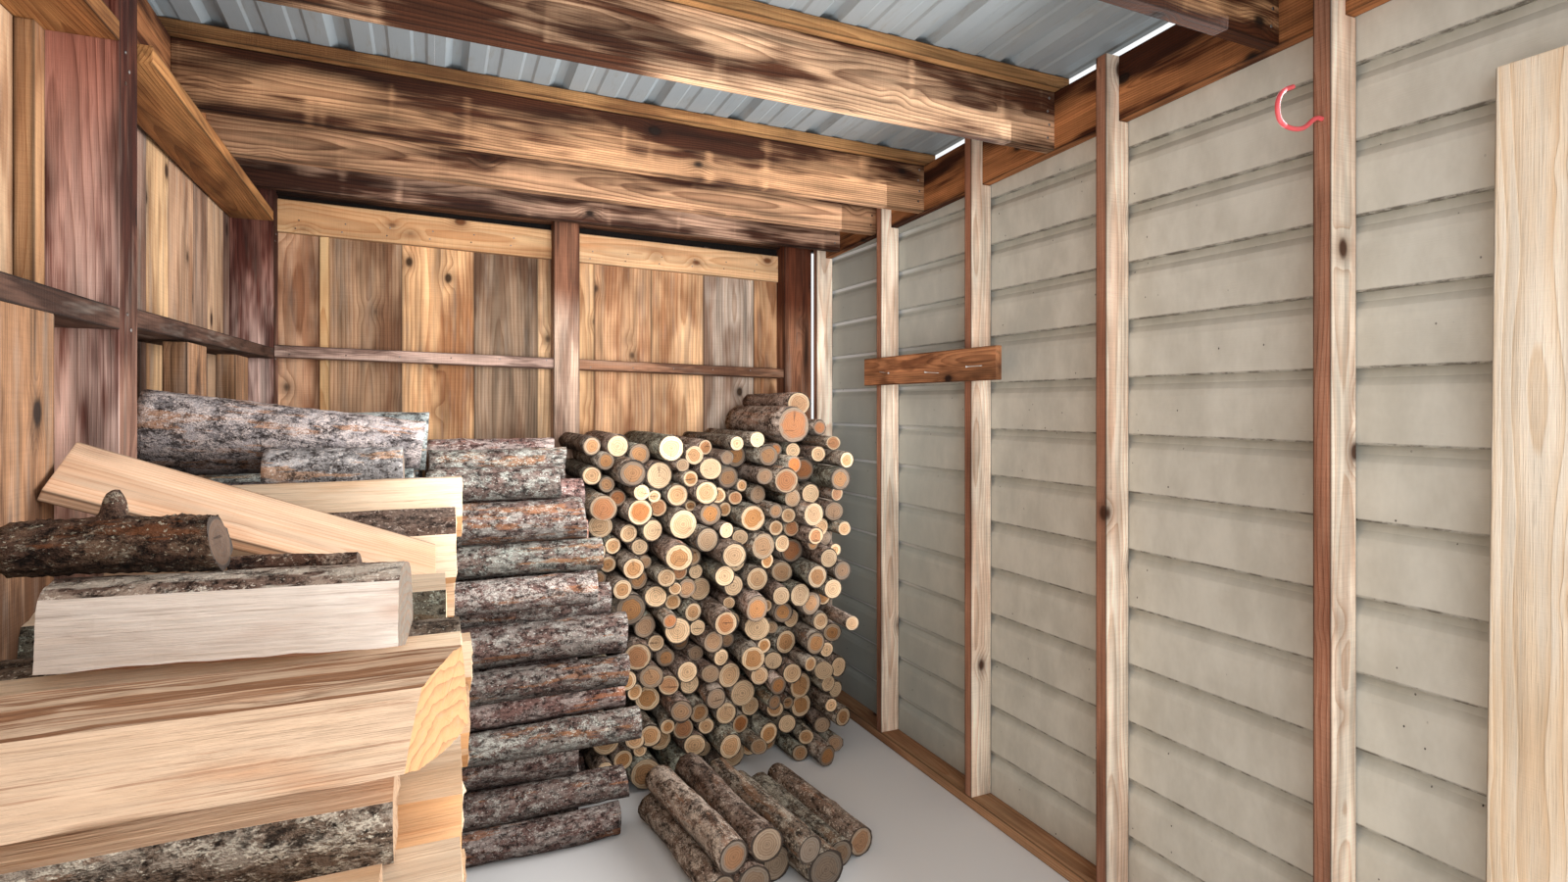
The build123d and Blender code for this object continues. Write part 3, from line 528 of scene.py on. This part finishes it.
# The left side is boarded on the outside of the posts, with short planks under the rail and a
# batten in the corner of the middle post.
side_wood = sawn_wood(
    "side_board_wood", "b08e70", "35221a", "86644c", ring=0.015, figure=0.5, stained=0.7, patches=(1.6, 8),
    streaks=0.9, grey=0.3, rim=0.006)
side_bays = {"left_boards_front": ("d8b694", "b09682", "ccaa88", "b89c84"),
             "left_boards_rear": ("a08470", "c4a486", "92786a", "cca880", "b8967a")}
for number, (node, colours) in enumerate(side_bays.items(), 70):
    timber(node, side_wood, colours, "wall_boards", number, sides={left: "a69888"}, swell=0.0025)
timber("left_batten", side_wood, ["b8906a"], "wall_boards", 72)
timber("left_liner_front", rail_wood, ["a07858"], "wall_boards", 73)
timber("left_liner_rear", rail_wood, ["a07858"], "wall_boards", 74)

# The round firewood is cut to length with a saw. Bark covers its sides, with grey lichen and
# patches where it came off, and each cut end shows rings round a darker heart.


def ends_of(points):
    """A solid's two end outlines, in order round its line, that line, and two directions across it."""
    middle, directions = own_axes(points)
    reach = (points - middle) @ directions[0]
    half = len(points) // 2
    if len(points) > 16:
        reach = points[:, np.argmax(abs(directions[0]))]
        half = (reach < reach.min() + 0.001).sum()
    order = np.argsort(reach)
    near, far = points[order[:half]], points[order[-half:]]
    line = far.mean(axis=0) - near.mean(axis=0)
    line = line / np.linalg.norm(line)
    side = np.cross((0, 0, 1), line)
    side = side / np.linalg.norm(side)
    rise = np.cross(line, side)
    outlines = []
    for end in (near, far):
        away = end - end.mean(axis=0)
        turn = np.arctan2(away @ rise, away @ side)
        outlines.append(end[np.argsort(turn)])
    return outlines[0], outlines[1], line, side, rise


def tube_mesh(name, rows, poles, kinds, smooth, finishes):
    """Many closed tubes in one mesh. rows holds for each tube its rings of points from one end to the
    other, poles its two end points, kinds the finish of the faces after each ring, the ends having the
    first, and smooth whether they are round."""
    count, rings, around = rows.shape[:3]
    corners = np.concatenate([poles.reshape(-1, 3), rows.reshape(-1, 3)])
    tube, ring, turn = np.meshgrid(np.arange(count), np.arange(rings), np.arange(around), indexing="ij")
    here = 2 * count + (tube * rings + ring) * around + turn
    beside = 2 * count + (tube * rings + ring) * around + (turn + 1) % around
    quads = np.stack([here[:, :-1], beside[:, :-1], beside[:, 1:], here[:, 1:]], axis=-1)
    near = np.stack([2 * tube[:, 0], beside[:, 0], here[:, 0]], axis=-1)
    far = np.stack([2 * tube[:, 0] + 1, here[:, -1], beside[:, -1]], axis=-1)
    mesh = bpy.data.meshes.new(name)
    mesh.from_pydata(corners.tolist(), [], quads.reshape(-1, 4).tolist() + near.reshape(-1, 3).tolist()
                     + far.reshape(-1, 3).tolist())
    ends = np.full(2 * count * around, kinds.flat[0])
    kind = np.concatenate([np.broadcast_to(kinds, (count, rings - 1, around)).ravel(), ends])
    round_face = np.broadcast_to(smooth[None, :, None], (count, rings - 1, around)).ravel()
    flat_ends = np.zeros(2 * count * around, bool)
    mesh.polygons.foreach_set("material_index", kind.astype(np.int32))
    mesh.polygons.foreach_set("use_smooth", np.concatenate([round_face, flat_ends]))
    for finish in finishes:
        mesh.materials.append(finish)
    return mesh


def put_each(mesh, name, values, rows):
    """Keeps one vector for each tube in all its corners, those of the poles first, as tube_mesh lays them."""
    spread = np.broadcast_to(values[:, None, None], rows.shape)
    put(mesh, name, "POINT", np.concatenate([np.repeat(values, 2, axis=0), spread.reshape(-1, 3)]))


def bark_skin(name, deep, mid, pale, bare, lichen, bare_share, lichen_share, plates=(46, 46, 16)):
    """Plates are cells longer along the log, with dark cracks between them, over patches of two tones. Bare
    wood and lichen are patches too, and the underside is painted darker as painted shade."""
    bark = Finish(name)
    own = bark.read("chance")
    local = bark.shifted(bark.read("local"), own, 20.0)
    first, second, third = bark.parts(own)
    wobble = bark.add("TexNoise", {}, {"Vector": bark.stretch(local, (60, 60, 40))}, "Color")
    crack = bark.cells(bark.shifted(local, wobble, 0.014), plates)
    rough = bark.noise(local, (90, 90, 75), 4.0, 0.78)
    patch = bark.noise(local, (20, 20, 13), 4.0, 0.72)
    torn = bark.noise(local, (22, 22, 3), 4.0, 0.7)
    grains = bark.noise(local, (300, 300, 190), 2.0, 0.7)
    spots = bark.step(bark.noise(local, (36, 36, 26), 4.0, 0.75) + (second - 0.5) * 0.16, 0.55, 0.6)
    chips = bark.step(bark.noise(local, (170, 170, 120), 3.0, 0.6) + patch * 0.2, 0.71, 0.75)
    gaps = bark.step(crack, 0.55, 0.85) * bark.step(rough, 0.62, 0.45)
    colour = bark.coats(
        bark.blend(bark.step(rough, 0.34, 0.54), deep, mid),
        (bark.step(patch + rough * 0.3, 0.62, 0.72) * (0.2 + first * 0.7), pale),
        (bark.step(torn + (first - 0.5) * 0.1, 0.58, 0.62) * bare_share, bare),
        (spots * bark.step(grains, 0.36, 0.56) * lichen_share, lichen),
        (chips * 0.85, lichen),
        (gaps * 0.85, deep))
    hue = bark.maths("FRACT", third * 5.7)
    colour = bark.blend(1.0, colour, bark.blend(hue, "f4e0da", "dce6dc"), "MULTIPLY")
    # Painted shade: the bark is painted darker towards each log's underside.
    level = bark.parts(bark.read("local"))[1] / bark.parts(bark.read("girth"))[0]
    sky = 0.35 + bark.step(level, -1.0, 0.5) * 0.75
    colour = bark.bright(colour, (0.4 + third * 0.5 + grains * 0.9) * sky)
    height = rough * 0.9 + grains * 0.3 - bark.step(crack, 0.45, 0.9) * 0.8 + spots * 0.2
    return bark.close(colour, 0.85, height, 0.008, 0.2)


def cut_end(name, sap, heart, red, grey, ring=0.008):
    """Rings are steps in the distance from the heart, the heart is darker or redder, and the rim is bark.
    Cracks follow the bearing from the heart, and gashes of the saw run straight across."""
    cut = Finish(name)
    own = cut.read("chance")
    first, second, third = cut.parts(own)
    local = cut.read("local")
    x, y = cut.parts(local)[:2]
    radius = (x * x + y * y) ** 0.5
    size = cut.parts(cut.read("girth"))[0]
    shifted = cut.shifted(local, own, 20.0)
    wave = cut.noise(shifted, (24, 24, 2), 3.0, 0.6)
    dirt = cut.noise(shifted, (70, 70, 30), 4.0, 0.7)
    turn = cut.maths("FRACT", radius / ring + wave * 2.2)
    share = radius / size + (wave - 0.5) * 0.5
    away = radius + 0.0005
    bearing = cut.add("CombineXYZ", {}, {0: x / away, 1: y / away, 2: first * 9.0})
    cracks = cut.step(cut.noise(bearing, (3.5, 3.5, 3.5), 2.0, 0.6), 0.64, 0.7) * cut.step(share, 0.95, 0.3)
    gash = cut.step(cut.noise(shifted, (7, 95, 3), 3.0, 0.6), 0.66, 0.72) * cut.step(share, 1.0, 0.4)
    colour = cut.coats(
        cut.blend(cut.step(first, 0.55, 0.85), sap, grey),
        (cut.step(share, 0.66, 0.58) * (0.1 + second * 0.85), heart),
        (cut.step(third, 0.86, 0.92) * cut.step(share, 0.78, 0.64) * 0.65, red),
        (turn * turn * 0.6, "5c3c22"),
        (cut.step(radius / size + (dirt - 0.5) * 0.12, 0.84, 0.9), "3a2e26"),
        (cut.step(radius, 0.004, 0.001) * 0.6, "3c2616"),
        (cracks * 0.6, "2c1c12"),
        (cut.step(dirt, 0.5, 0.72) * 0.35, "6a5a48"),
        (gash * 0.7, "3c2a1c"))
    shade = cut.maths("FRACT", first * 7.3)
    colour = cut.bright(colour, (0.55 + dirt * 0.55) * (0.65 + shade * 0.75))
    return cut.close(colour, 0.85, dirt * 0.6 - turn * 0.25 - gash, 0.0025)


def waves(chance, count, rings, around, strength):
    """A round outline's unevenness: for each log a few waves round it that turn as they run along it."""
    along = np.linspace(0, 1, rings)[None, :, None]
    turn = np.linspace(0, 2 * np.pi, around, endpoint=False)[None, None, :]
    total = np.zeros((count, rings, around))
    for lobes, share in ((2, 1.0), (3, 0.8), (5, 0.55), (8, 0.45)):
        start = chance.uniform(0, 2 * np.pi, (count, 1, 1))
        twist = chance.uniform(-3, 3, (count, 1, 1))
        total += strength * share * np.sin(lobes * turn + start + twist * along)
    return total


def round_logs(node, piece, finishes, seed, around, rings, rough, bow, tilt, pokes, knobs, aside=0.0,
               stub=None):
    """Each log follows its solid's line and outline, with uneven bark, a few knobs where branches were, a
    bend, tilted cuts, and ends that stand out or back by up to the pokes. All may be moved aside along their
    lines. A stub of a branch may stand on the first, at a share of its length, a turn round it and a height
    in radii."""
    places, _, label = solids_of(node)
    chance = np.random.default_rng(seed)
    shapes = [ends_of(places[label == solid]) for solid in np.unique(label)]
    count = len(shapes)
    turn = np.linspace(0, 2 * np.pi, around, endpoint=False)
    starts = np.array([shape[0].mean(axis=0) for shape in shapes])
    stops = np.array([shape[1].mean(axis=0) for shape in shapes])
    line, side, rise = (np.array([shape[k] for shape in shapes])[:, None, None] for k in (2, 3, 4))
    starts = starts + line[:, 0, 0] * (chance.uniform(-1, 1, (count, 1)) * pokes[0] + aside)
    stops = stops + line[:, 0, 0] * (chance.uniform(-1, 1, (count, 1)) * pokes[1] + aside)
    outlines = []
    for end in (0, 1):
        for shape in shapes:
            away = shape[end] - shape[end].mean(axis=0)
            angles = np.arctan2(away @ shape[4], away @ shape[3])
            radii = np.hypot(away @ shape[4], away @ shape[3])
            outlines.append(np.interp(turn, angles, radii, period=2 * np.pi))
    outlines = np.array(outlines).reshape(2, count, 1, around)
    share = np.concatenate([[0, 0, 0], np.linspace(0, 1, rings)[1:-1], [1, 1, 1]])[None, :, None]
    inset = np.concatenate([[0.5, 0.93, 1], np.ones(rings - 2), [1, 0.93, 0.5]])[None, :, None]
    uneven = waves(chance, count, rings + 4, around, rough)
    uneven = uneven + chance.normal(0, rough * 0.5, uneven.shape)
    length = np.linalg.norm(stops - starts, axis=1)[:, None, None]
    for knob in range(knobs):
        place = chance.uniform(0.05, 0.95, (count, 1, 1))
        bearing = chance.uniform(-np.pi, np.pi, (count, 1, 1))
        off = (turn - bearing + np.pi) % (2 * np.pi) - np.pi
        away = ((share - place) * length / 0.022) ** 2 + (off / 0.38) ** 2
        uneven += chance.uniform(0.0, 0.2, (count, 1, 1)) * np.exp(-away)
    if stub:
        off = (turn - stub[1] + np.pi) % (2 * np.pi) - np.pi
        away = ((share - stub[0]) * length / 0.012) ** 4 + (off / 0.32) ** 4
        uneven[:1] += stub[2] * np.exp(-away[:1])
    uneven[:, :3] = uneven[:, 2:3]
    uneven[:, -3:] = uneven[:, -3:-2]
    slim = chance.uniform(0.9 if count > 80 else 1.0, 1.0, (count, 1, 1))
    bark_share = 0.965
    radius = (outlines[0] * (1 - share) + outlines[1] * share) * bark_share * (1 + uneven) * inset * slim
    across, above = radius * np.cos(turn), radius * np.sin(turn)
    lean = chance.uniform(-tilt, tilt, (2, count, 1, 1))
    cut = lean[0] * across * (share == 0) + lean[1] * above * (share == 1)
    bend = bow * np.sin(np.pi * share * chance.uniform(1, 2.4, (count, 1, 1)))
    bend = bend * chance.uniform(-1, 1, (count, 1, 1))
    centre = starts[:, None, None] * (1 - share[..., None]) + stops[:, None, None] * share[..., None]
    rows = centre + side * (across + bend)[..., None] + rise * above[..., None] + line * cut[..., None]
    rows[..., 2] = np.maximum(rows[..., 2], 0.001)
    poles = np.stack([starts, stops], axis=1)
    kinds = np.zeros((1, rings + 3, 1))
    kinds[:, :2] = kinds[:, -2:] = 1
    mesh = tube_mesh(piece, rows, poles, kinds, kinds[0, :, 0] == 0, finishes)
    local = np.stack([across, above, share * length + 0 * across], axis=-1)
    pole_local = np.zeros((count, 2, 3))
    pole_local[:, 1, 2] = length[:, 0, 0]
    put(mesh, "local", "POINT", np.concatenate([pole_local.reshape(-1, 3), local.reshape(-1, 3)]))
    put_each(mesh, "chance", chance.uniform(0, 1, (count, 3)), rows)
    put_each(mesh, "girth", np.repeat(outlines[0].mean(axis=2), 3, axis=1) * bark_share, rows)
    show(mesh, piece, [node])


grey_bark = bark_skin("grey_bark", "28211d", "7c6c60", "b2aaa0", "946c50", "e0dcd0", 0.5, 0.6)
red_bark = bark_skin("mottled_bark", "2a2020", "866e6a", "b8b2b0", "b07a58", "e4e6e4", 0.7, 0.6, (70, 70, 30))
butt_bark = bark_skin("lichen_bark", "3a3434", "a6abb0", "dce2e8", "dcb490", "f6f8f8", 0.7, 0.8, (50, 50, 30))
wet_bark = bark_skin("wet_bark", "1c1411", "58443a", "86705f", "7a4f34", "b8b5a6", 0.6, 0.4, (60, 60, 30))
tan_end = cut_end("sawn_end", "f4d4ac", "c4864a", "bc6824", "988470")
wet_end = cut_end("wet_end", "5e4a3c", "44342a", "5e3c28", "4c4038")
dark_end = cut_end("weathered_end", "a8947e", "8a6e54", "9a6a44", "7f7468")
round_logs("log_stack_ends", "end_stack_logs", [grey_bark, tan_end], 100, around=18, rings=7,
           rough=0.035, bow=0.016, tilt=0.3, pokes=(0.075, 0), knobs=1)
round_logs("log_stack_cross", "cross_stack_logs", [red_bark, dark_end], 101, around=26, rings=20,
           rough=0.035, bow=0.014, tilt=0.2, pokes=(0, 0.045), knobs=4)
round_logs("log_stack_corner", "corner_stack_logs", [butt_bark, dark_end], 102, around=36, rings=24,
           rough=0.02, bow=0.0, tilt=0.1, pokes=(0, 0.01), knobs=2)
round_logs("floor_logs", "tumbled_logs", [grey_bark, dark_end], 103, around=28, rings=18,
           rough=0.03, bow=0.012, tilt=0.15, pokes=(0.03, 0.03), knobs=3)
round_logs("loose_logs", "bark_logs", [wet_bark, wet_end], 104, around=48, rings=44,
           rough=0.06, bow=0.012, tilt=0.5, pokes=(0, 0), knobs=6, aside=-0.055, stub=(0.45, 1.5, 1.0))

# The split firewood is torn along its grain, so its faces are pale and ribbed lengthways, with
# bark left on the outer side. The cut ends show rings about a corner.


def split_face(name, cream, tan, orange, brown):
    """Fibres and wider streaks drawn out along the grain, with the face's own share of brown, and orange
    painted on the faces that look down as painted shade."""
    face = Finish(name)
    own = face.read("chance")
    first, second = face.parts(own)[:2]
    local = face.shifted(face.read("local"), own, 20.0)
    shade, under = face.parts(face.read("shade"))[:2]
    streak = face.noise(local, (75, 75, 2.6), 4.0, 0.65)
    fibre = face.noise(local, (420, 420, 9), 3.0, 0.65)
    patch = face.noise(local, (12, 12, 3.2), 3.0, 0.6)
    thread = face.noise(local, (190, 190, 4), 4.0, 0.7)
    lines = face.noise(local, (130, 130, 1.6), 4.0, 0.7)
    browned = face.step(lines + shade * 0.12, 0.58, 0.7) * (0.3 + shade * 0.6)
    # The orange on the faces that look down is painted shade.
    colour = face.coats(
        face.blend(first * 0.8, cream, tan),
        (face.step(patch + (second - 0.5) * 0.2, 0.5, 0.72) * 0.45, orange),
        (under * 0.8, orange),
        (face.step(streak, 0.5, 0.7) * 0.3, tan, "MULTIPLY"),
        (browned, brown))
    colour = face.bright(colour, 0.5 + fibre * 0.5 + thread * 0.5)
    height = fibre * 0.5 + streak * 0.3 + thread * 0.7 - lines * 0.3
    return face.close(colour, 0.8, height, 0.0032, 0.2)


def split_end(name, pale, dark, ring=0.006):
    """Rings are steps in the distance from the heart's corner, broken by cracks and sawdust."""
    cut = Finish(name)
    own = cut.read("chance")
    local = cut.read("local")
    x, y = cut.parts(local)[:2]
    shifted = cut.shifted(local, own, 20.0)
    wave = cut.noise(shifted, (22, 22, 4), 3.0, 0.6)
    dirt = cut.noise(shifted, (90, 90, 60), 4.0, 0.7)
    turn = cut.maths("FRACT", (x * x + y * y) ** 0.5 / ring + wave * 2)
    colour = cut.blend(cut.parts(own)[0], pale, dark)
    colour = cut.blend(turn ** 3.0 * 0.6, colour, "7c5030")
    colour = cut.blend(cut.step(dirt, 0.5, 0.7) * 0.4, colour, "8c7a66")
    return cut.close(cut.bright(colour, 0.7 + dirt * 0.5), 0.85, dirt - turn * 0.3, 0.0015)


def split_logs(node, piece, finishes, seed, around, rings, torn, bark_up=False):
    """Each split follows its solid's corners. Its faces are pushed in and out by ribs that run along the
    grain, torn metres deep. The face farthest from the heart's corner may be bark, or with bark_up the faces
    that look up on a split of six sides, and the ends are a little ragged."""
    places, _, label = solids_of(node)
    chance = np.random.default_rng(seed)
    solids = np.unique(label)
    rows, poles, row_grains, pole_grains, kinds, shades = [], [], [], [], [], []
    share = np.concatenate([[0, 0], np.linspace(0, 1, rings), [1, 1]])[:, None, None]
    inset = np.concatenate([[0.35, 0.75], np.ones(rings), [0.75, 0.35]])[:, None, None]
    for solid in solids:
        near, far, line, side, rise = ends_of(places[label == solid])
        corners = len(near)
        step = around // corners
        place = np.arange(corners * step) / step
        low = place.astype(int)
        part = (place - low)[:, None]
        dulled = 0.035 if bark_up else 0.015
        soft = 1 - dulled * abs(np.cos(np.pi * part)) ** (6 if bark_up else 2)
        after = (low + 1) % corners
        outline = [(end[low] * (1 - part) + end[after] * part - end.mean(axis=0)) * soft + end.mean(axis=0)
                   for end in (near, far)]
        flat = near[after] - near[low]
        outward = np.cross(flat, line)
        outward = outward / np.linalg.norm(outward, axis=1)[:, None]
        heart = int(np.argmin(near @ rise)) if bark_up else int(chance.integers(corners))
        barked = (low - heart) % corners == corners // 2
        if bark_up:
            barked = (outward[:, 2] > 0.35) & (corners == 6)
        elif chance.random() < 0.35:
            barked[:] = False
        coarse = chance.normal(0, 1, (rings // 5 + 2, len(place)))
        where = np.linspace(0, len(coarse) - 1.001, rings)
        lower = where.astype(int)
        past = (where - lower)[:, None]
        ribs = coarse[lower] * (1 - past) + coarse[lower + 1] * past
        ribs = (ribs + np.roll(ribs, 1, axis=1) + np.roll(ribs, -1, axis=1)) / 2
        ribs = ribs * torn - torn + barked * 0.007 * np.sin(np.pi * part[:, 0])
        ribs = np.concatenate([ribs[:1], ribs[:1], ribs, ribs[-1:], ribs[-1:]])[..., None]
        shape = outline[0] * (1 - share) + outline[1] * share + outward * ribs
        centres = near.mean(axis=0) * (1 - share) + far.mean(axis=0) * share
        shape = centres + (shape - centres) * inset
        ragged = chance.normal(0, torn * 0.8, shape.shape[:2]) * (1 - 0.8 * bark_up)
        ragged[2:-2] = 0
        shape = shape + line * ragged[..., None]
        axes = np.stack([side, rise, line], axis=1)
        shape[..., 2] = np.maximum(shape[..., 2], 0.001)
        rows.append(shape)
        ends = np.stack([near.mean(axis=0), far.mean(axis=0)])
        poles.append(ends)
        pith = near[heart] * 1.7 - near.mean(axis=0) * 0.7
        row_grains.append((shape - pith) @ axes)
        pole_grains.append((ends - pith) @ axes)
        kind = np.zeros((rings + 3, len(place)))
        kind[:, barked] = 1
        kind[:2] = kind[-2:] = 2
        kinds.append(kind)
        upward = np.clip(outward[:, 2], 0, 1) * bark_up + chance.uniform(0, 0.3) * (1 - bark_up)
        # Each face's tone holds how much it looks up and how much it looks down; the down share gives painted
        # shade.
        tone = np.stack([upward, np.clip(-3 * outward[:, 2], 0, 1), 0 * place], axis=1)
        shades.append(np.broadcast_to(tone, kind.shape + (3,)))
    rows = np.array(rows)
    mesh = tube_mesh(piece, rows, np.array(poles), np.array(kinds), np.zeros(rings + 3, bool), finishes)
    count = len(solids)
    grains = [np.array(pole_grains).reshape(-1, 3), np.array(row_grains).reshape(-1, 3)]
    put(mesh, "local", "POINT", np.concatenate(grains))
    own = chance.uniform(0, 1, (count, 3))
    if bark_up:
        own[:, 0] = [(label == solid).sum() == 12 for solid in solids]
    put_each(mesh, "chance", own, rows)
    end_shades = np.zeros((2 * count * rows.shape[2], 3))
    put(mesh, "shade", "FACE", np.concatenate([np.array(shades).reshape(-1, 3), end_shades]))
    show(mesh, piece, [node])


pale_split = split_face("split_face", "e8d4ba", "cca680", "c08c58", "8a6040")
ring_end = split_end("split_end", "ead2b0", "a07c5c")
split_logs("split_pile", "split_pile_logs", [pale_split, grey_bark, ring_end], 110, around=30, rings=16,
           torn=0.0022)
top_split = split_face("split_top_face", "c4a78c", "fff6ec", "a8642c", "84583a")
top_bark = bark_skin("split_top_bark", "2a211c", "86746a", "beb4a8", "dcdcd2", "f4f6ee", 0.8, 1.0,
                     (60, 60, 30))
# The top splits' cut ends are an orange tan, painted darker as painted shade.
top_end = split_end("split_top_end", "c0905f", "6e6458", 0.015)
split_logs("split_pile_top", "split_top_logs", [top_split, top_bark, top_end], 112, around=90, rings=60,
           torn=0.0012, bark_up=True)

# Steel nails hold the timbers. Their round heads stand a little proud of the wood, and the three
# in the board across the studs were bent over instead of driven home.
nail_steel = Finish("nail_steel")
nail_rust = nail_steel.noise(nail_steel.position(), (90, 90, 90), 3.0)
nail_colour = nail_steel.blend(nail_steel.step(nail_rust, 0.4, 0.6), "8c8a88", "4a3a30")
nail_finish = nail_steel.close(nail_colour, 0.45, nail_rust, 0.0003, metal=0.6)
bright_finish = hazy("bright_nail_steel", 90, 3.0, "e8e6e2", "b8b6b2", rough=0.3, depth=0.0002, metal=0.5)


def nail_heads(piece, places, outward, radius):
    """Domed heads: rings about each nail's line, of the head's radius at its rim and less above and below."""
    places = np.array(places)
    outward = np.array(outward, dtype=float)
    side = np.cross(outward, (0.3, 0.5, 0.8))
    side = side / np.linalg.norm(side)
    rise = np.cross(outward, side)
    turn = np.linspace(0, 2 * np.pi, 12, endpoint=False)
    proud = np.array((-0.002, 0.0006, 0.0014))[None, :, None, None]
    wide = np.array((0.5, 1.0, 0.75))[None, :, None, None] * radius
    circle = np.cos(turn)[:, None] * side + np.sin(turn)[:, None] * rise
    rows = places[:, None, None] + wide * circle + proud * outward
    poles = np.stack([places - outward * 0.002, places + outward * 0.0018], axis=1)
    mesh = tube_mesh(piece, rows, poles, np.zeros((1, 2, 1)), np.ones(2, bool), [nail_finish])
    show(mesh, piece, [])


nail_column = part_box("right_header")[0][0] - 0.022
below_rafter_top = 0.065
nail_apart = 0.042
rafter_nails = []
for number in range(1, 7):
    low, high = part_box(f"rafter_{number}")
    top_nail = high[2] - below_rafter_top
    rafter_nails += [(nail_column - 0.006 * (k % 2), low[1], top_nail - nail_apart * k) for k in range(4)]
nail_heads("rafter_nails", rafter_nails, (0, -1, 0), radius=0.0045)

trim_nail_bay = 0.16
rail_nail_bay = 0.19
back_nails = []
for node in ("back_trim_left", "back_trim_right"):
    low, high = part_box(node)
    for x in np.arange(low[0] + 0.06, high[0] - 0.03, trim_nail_bay):
        back_nails += [(x, low[1], low[2] + 0.047), (x + 0.012, low[1], low[2] + 0.08)]
for node in ("back_rail_left", "back_rail_right"):
    low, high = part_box(node)
    middle = (low[2] + high[2]) / 2
    back_nails += [(x, low[1], middle) for x in np.arange(low[0] + 0.05, high[0] - 0.03, rail_nail_bay)]
nail_heads("back_nails", back_nails, (0, -1, 0), radius=0.0032)

header_nail_height = 2.12
rail_nail_height = 1.61
post_nails = []
for node in left_posts:
    low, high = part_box(node)
    post_nails += [(high[0], low[1] + 0.03 + 0.02 * (k % 2), header_nail_height - 0.03 * k) for k in range(3)]
    post_nails += [(high[0], low[1] + 0.04 + 0.02 * k, rail_nail_height - 0.03 * k) for k in range(2)]
nail_heads("post_nails", post_nails, (1, 0, 0), radius=0.004)

# A bent nail rises from the board, turns along it and ends in its head. Each has its place, the
# way it was bent and how it climbs.
nail_radius = 0.0017
head_share = 2.3
bent_nails = ((0.835, 1.572, -1, -0.1), (0.42, 1.552, 1, 0.07), (0.168, 1.567, 1, 0.0))
board_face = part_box("cross_board")[0][0]
lift = np.array((0.0, 0.006, 0.008, 0.008, 0.008, 0.008, 0.008))
reach = np.array((0.0, 0.002, 0.012, 0.04, 0.074, 0.0742, 0.077))
wide = nail_radius * np.array((1, 1, 1, 1, 1, head_share, head_share))[:, None, None]
turned = np.array((0, 0.5, 1, 1, 1, 1, 1))[:, None, None]
bent_turn = np.linspace(0, 2 * np.pi, 10, endpoint=False)
standing = np.stack([0 * bent_turn, np.cos(bent_turn), np.sin(bent_turn)], axis=1)
lying = np.stack([np.cos(bent_turn), 0 * bent_turn, np.sin(bent_turn)], axis=1)
paths = np.array([np.stack([board_face - lift, y + reach * way, z + reach * climb], axis=1)
                  for y, z, way, climb in bent_nails])
bent_rows = paths[:, :, None] + (standing * (1 - turned) + lying * turned) * wide
bent_mesh = tube_mesh("bent_nails", bent_rows, paths[:, [0, -1]], np.zeros((1, 6, 1)), np.ones(6, bool),
                      [bright_finish])
build = bmesh.new()
build.from_mesh(bent_mesh)
bmesh.ops.recalc_face_normals(build, faces=build.faces)
build.to_mesh(bent_mesh)
build.free()
show(bent_mesh, "bent_nails", [])

# A short new board lies tilted on the split pile, and a spare plank of new pine leans on the
# siding at the right. Both are planed smooth, pale, and have small knots.
new_board_wood = sawn_wood(
    "new_board_wood", "d8b496", "6a3c20", "cca888", ring=0.006, figure=0.5, stained=0.4, patches=(2.5, 9),
    streaks=0.5, kerf=0.05)
new_plank_wood = sawn_wood(
    "new_plank_wood", "e2c49c", "8a5a34", "e6cca8", ring=0.009, figure=0.6, stained=0.4, patches=(1.2, 7),
    streaks=0.35, kerf=0.05)
timber("loose_board", new_board_wood, ["e2c0a2"], "split_wood", 131)
timber("wall_plank", new_plank_wood, ["fdf0dc"], "trim_pine", 124, edge=0.003)

# A bent steel hook in a pink red plastic coat is screwed into the second stud. Its route is the
# bends in the upright plane, rounded by cutting each corner a quarter of the way, four times.
hook_low, hook_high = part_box("wall_hook")
hook_radius = 0.005
hook_screw_height = 2.047
hook_bends = ((0, 0), (22, 0), (67, -36), (135, -34), (150, 2), (134, 38), (96, 53))
route = np.array(hook_bends) / 1000
for cutting in range(4):
    early_part = route[:-1] * 0.75 + route[1:] * 0.25
    late_part = route[:-1] * 0.25 + route[1:] * 0.75
    route = np.concatenate([route[:1], np.stack([early_part, late_part], axis=1).reshape(-1, 2), route[-1:]])
heading = np.gradient(route, axis=0)
heading = heading / np.linalg.norm(heading, axis=1)[:, None]
turns = np.linspace(0, 2 * np.pi, 16, endpoint=False)
hook_y = np.full(len(route), (hook_low[1] + hook_high[1]) / 2)
route_3d = np.stack([hook_high[0] - route[:, 0], hook_y, hook_screw_height + route[:, 1]], axis=1)
sideways = np.stack([-heading[:, 1], 0 * heading[:, 0], -heading[:, 0]], axis=1)
circle = np.cos(turns)[:, None] * np.array((0, 1, 0)) + np.sin(turns)[:, None] * sideways[:, None]
coat = route_3d[:, None] + hook_radius * circle
hook_plastic = hazy("coated_hook", 60, 3.0, "f0686c", "e2545c", rough=0.3, depth=0.0003)
lengths = len(route) - 1
hook_mesh = tube_mesh("coated_hook", coat[None], route_3d[None, [0, -1]], np.zeros((1, lengths, 1)),
                      np.ones(lengths, bool), [hook_plastic])
show(hook_mesh, "coated_hook", ["wall_hook"])
